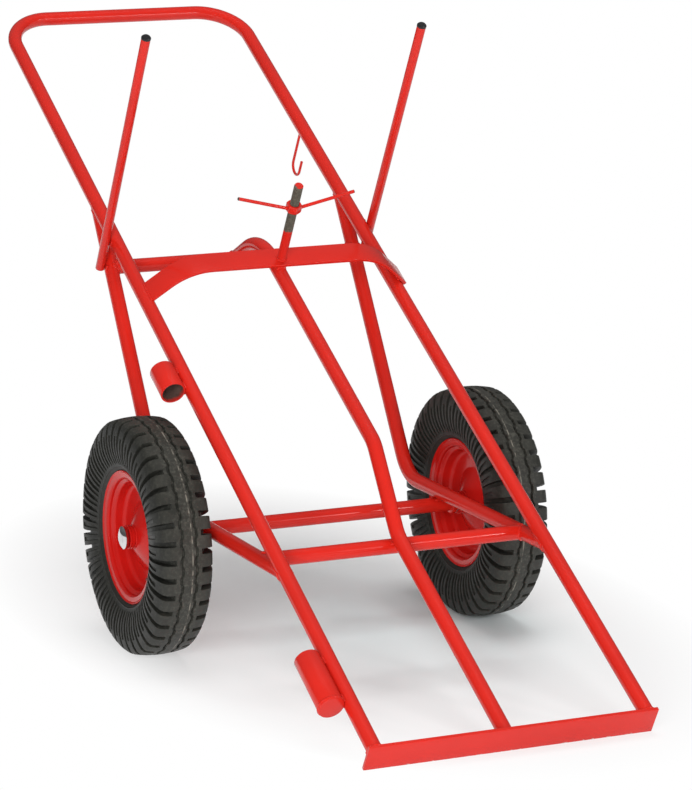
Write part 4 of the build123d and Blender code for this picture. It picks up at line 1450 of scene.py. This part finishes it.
class TROLLEY_OT_stage(Operator):
    """Set the floor, the studio light and the camera"""

    bl_idname = "trolley.stage"
    bl_label = "Stage"

    def execute(self, context):
        clear_selection()
        bpy.ops.mesh.primitive_plane_add(size=FLOOR_SIZE)
        floor = bpy.context.object
        floor.name = "studio_floor"
        floor.data.materials.append(self.floor_finish())
        for name, at, aim, size, watts, mirrored in LAMPS:
            turn = (Vector(at) - Vector(aim)).to_track_quat("Z", "Y").to_euler()
            bpy.ops.object.light_add(type="AREA", location=at, rotation=turn)
            lamp = bpy.context.object
            lamp.name = name
            lamp.data.size = size
            lamp.data.energy = watts
            lamp.visible_glossy = mirrored
        self.world()
        bpy.ops.object.camera_add(location=CAMERA_AT, rotation=CAMERA_TURN)
        camera = bpy.context.object
        camera.name = "photo_camera"
        camera.data.lens = CAMERA_LENS
        camera.data.sensor_width = CAMERA_SENSOR
        camera.data.clip_end = CAMERA_FAR
        context.scene.camera = camera
        context.scene.view_settings.view_transform = "Standard"
        return {"FINISHED"}

    def floor_finish(self):
        """Pale matt floor with a painted shadow, darker near the trolley, and a painted cyan tint in front
        that cancels the red bounce light; it fades to the white of the background away from the trolley.
        """
        material = bpy.data.materials.new("studio_floor")
        material.use_nodes = True
        material.node_tree.nodes.clear()
        floor = Nodes(material.node_tree)
        far = floor.length(floor.centred(Location=(-0.21, -0.05, 0.0), Scale=(2.15, 1.15, 1.0)))
        colour = colours().painted_shadow_floor
        speckled = floor.blend(floor.noise(30.0, 4.0), tinted(colour, 0.985), tinted(colour, 1.015))
        # painted light: lighter and cyan towards the front, to cancel the red light bounced off the frame
        bounce_tint_mask = floor.spread(floor.parts(floor.coords)["Y"], 0.15, -0.15)
        bounce_cancel_tint = floor.blend(bounce_tint_mask, speckled, (colour[0] * 1.09, colour[1] * 1.22, colour[2] * 1.22))
        # painted shadow: the floor is darker near the trolley and paler away from it
        painted_shadow_ramp = floor.blend(floor.spread(far, 0.0, 0.95), bounce_cancel_tint, (0.95, 0.95, 0.95))
        matt = floor.add("ShaderNodeBsdfDiffuse", {"Color": painted_shadow_ramp}).outputs["BSDF"]
        white = floor.add("ShaderNodeEmission", {"Strength": 1.0}).outputs["Emission"]
        path = floor.add("ShaderNodeLightPath").outputs
        seen = floor.calc("MAXIMUM", path["Is Camera Ray"], path["Is Glossy Ray"])
        seen = floor.calc("MAXIMUM", seen, path["Is Transmission Ray"])
        amount = floor.calc("MULTIPLY", floor.spread(far, 0.50, 1.20), seen)
        floor.add("ShaderNodeOutputMaterial", {"Surface": floor.mix_shaders(amount, matt, white)})
        return material

    def world(self):
        """Even light; the camera sees white, and reflections a studio that darkens towards its walls."""
        world = bpy.data.worlds.new("studio")
        bpy.context.scene.world = world
        world.use_nodes = True
        world.node_tree.nodes.clear()
        studio = Nodes(world.node_tree, "Generated")
        path = studio.add("ShaderNodeLightPath").outputs
        seen = studio.calc("MAXIMUM", path["Is Camera Ray"], path["Is Transmission Ray"])
        walls = studio.spread(studio.parts(studio.coords)["Z"], 0.0, 0.9, 0.08, 0.35)
        lights = []
        for strength in (0.24, walls, 1.0):
            light = studio.add("ShaderNodeBackground", {"Color": (1, 1, 1, 1), "Strength": strength})
            lights.append(light.outputs["Background"])
        even, mirrored, white = lights
        lit = studio.mix_shaders(path["Is Glossy Ray"], even, mirrored)
        studio.add("ShaderNodeOutputWorld", {"Surface": studio.mix_shaders(seen, lit, white)})


OPERATORS = (
    TROLLEY_OT_frame_tubes,
    TROLLEY_OT_flat_bars,
    TROLLEY_OT_side_arms,
    TROLLEY_OT_clamp,
    TROLLEY_OT_rod_holder,
    TROLLEY_OT_torch_hook,
    TROLLEY_OT_axle,
    TROLLEY_OT_tyres,
    TROLLEY_OT_wheels,
    TROLLEY_OT_weld_beads,
    TROLLEY_OT_kept_nodes,
    TROLLEY_OT_stage,
)


class TROLLEY_PT_panel(Panel):
    """Sizes, colours and the steps that build the trolley"""

    bl_idname = "TROLLEY_PT_panel"
    bl_label = "Gas Cylinder Trolley"
    bl_space_type = "VIEW_3D"
    bl_region_type = "UI"
    bl_category = "Trolley"

    def draw(self, context):
        for group in (context.scene.trolley_sizes, context.scene.trolley_finish):
            column = self.layout.column()
            for name in group.__annotations__:
                column.prop(group, name)
        for operator in OPERATORS:
            self.layout.operator(operator.bl_idname)


CLASSES = (TrolleySizes, TrolleyFinish, *OPERATORS, TROLLEY_PT_panel)


def register():
    for cls in CLASSES:
        bpy.utils.register_class(cls)
    bpy.types.Scene.trolley_sizes = PointerProperty(type=TrolleySizes)
    bpy.types.Scene.trolley_finish = PointerProperty(type=TrolleyFinish)


def unregister():
    del bpy.types.Scene.trolley_finish
    del bpy.types.Scene.trolley_sizes
    for cls in reversed(CLASSES):
        bpy.utils.unregister_class(cls)


def main():
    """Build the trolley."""
    register()
    for operator in OPERATORS:
        group, name = operator.bl_idname.split(".")
        getattr(getattr(bpy.ops, group), name)()
    clear_selection()


if __name__ == "__main__":
    main()
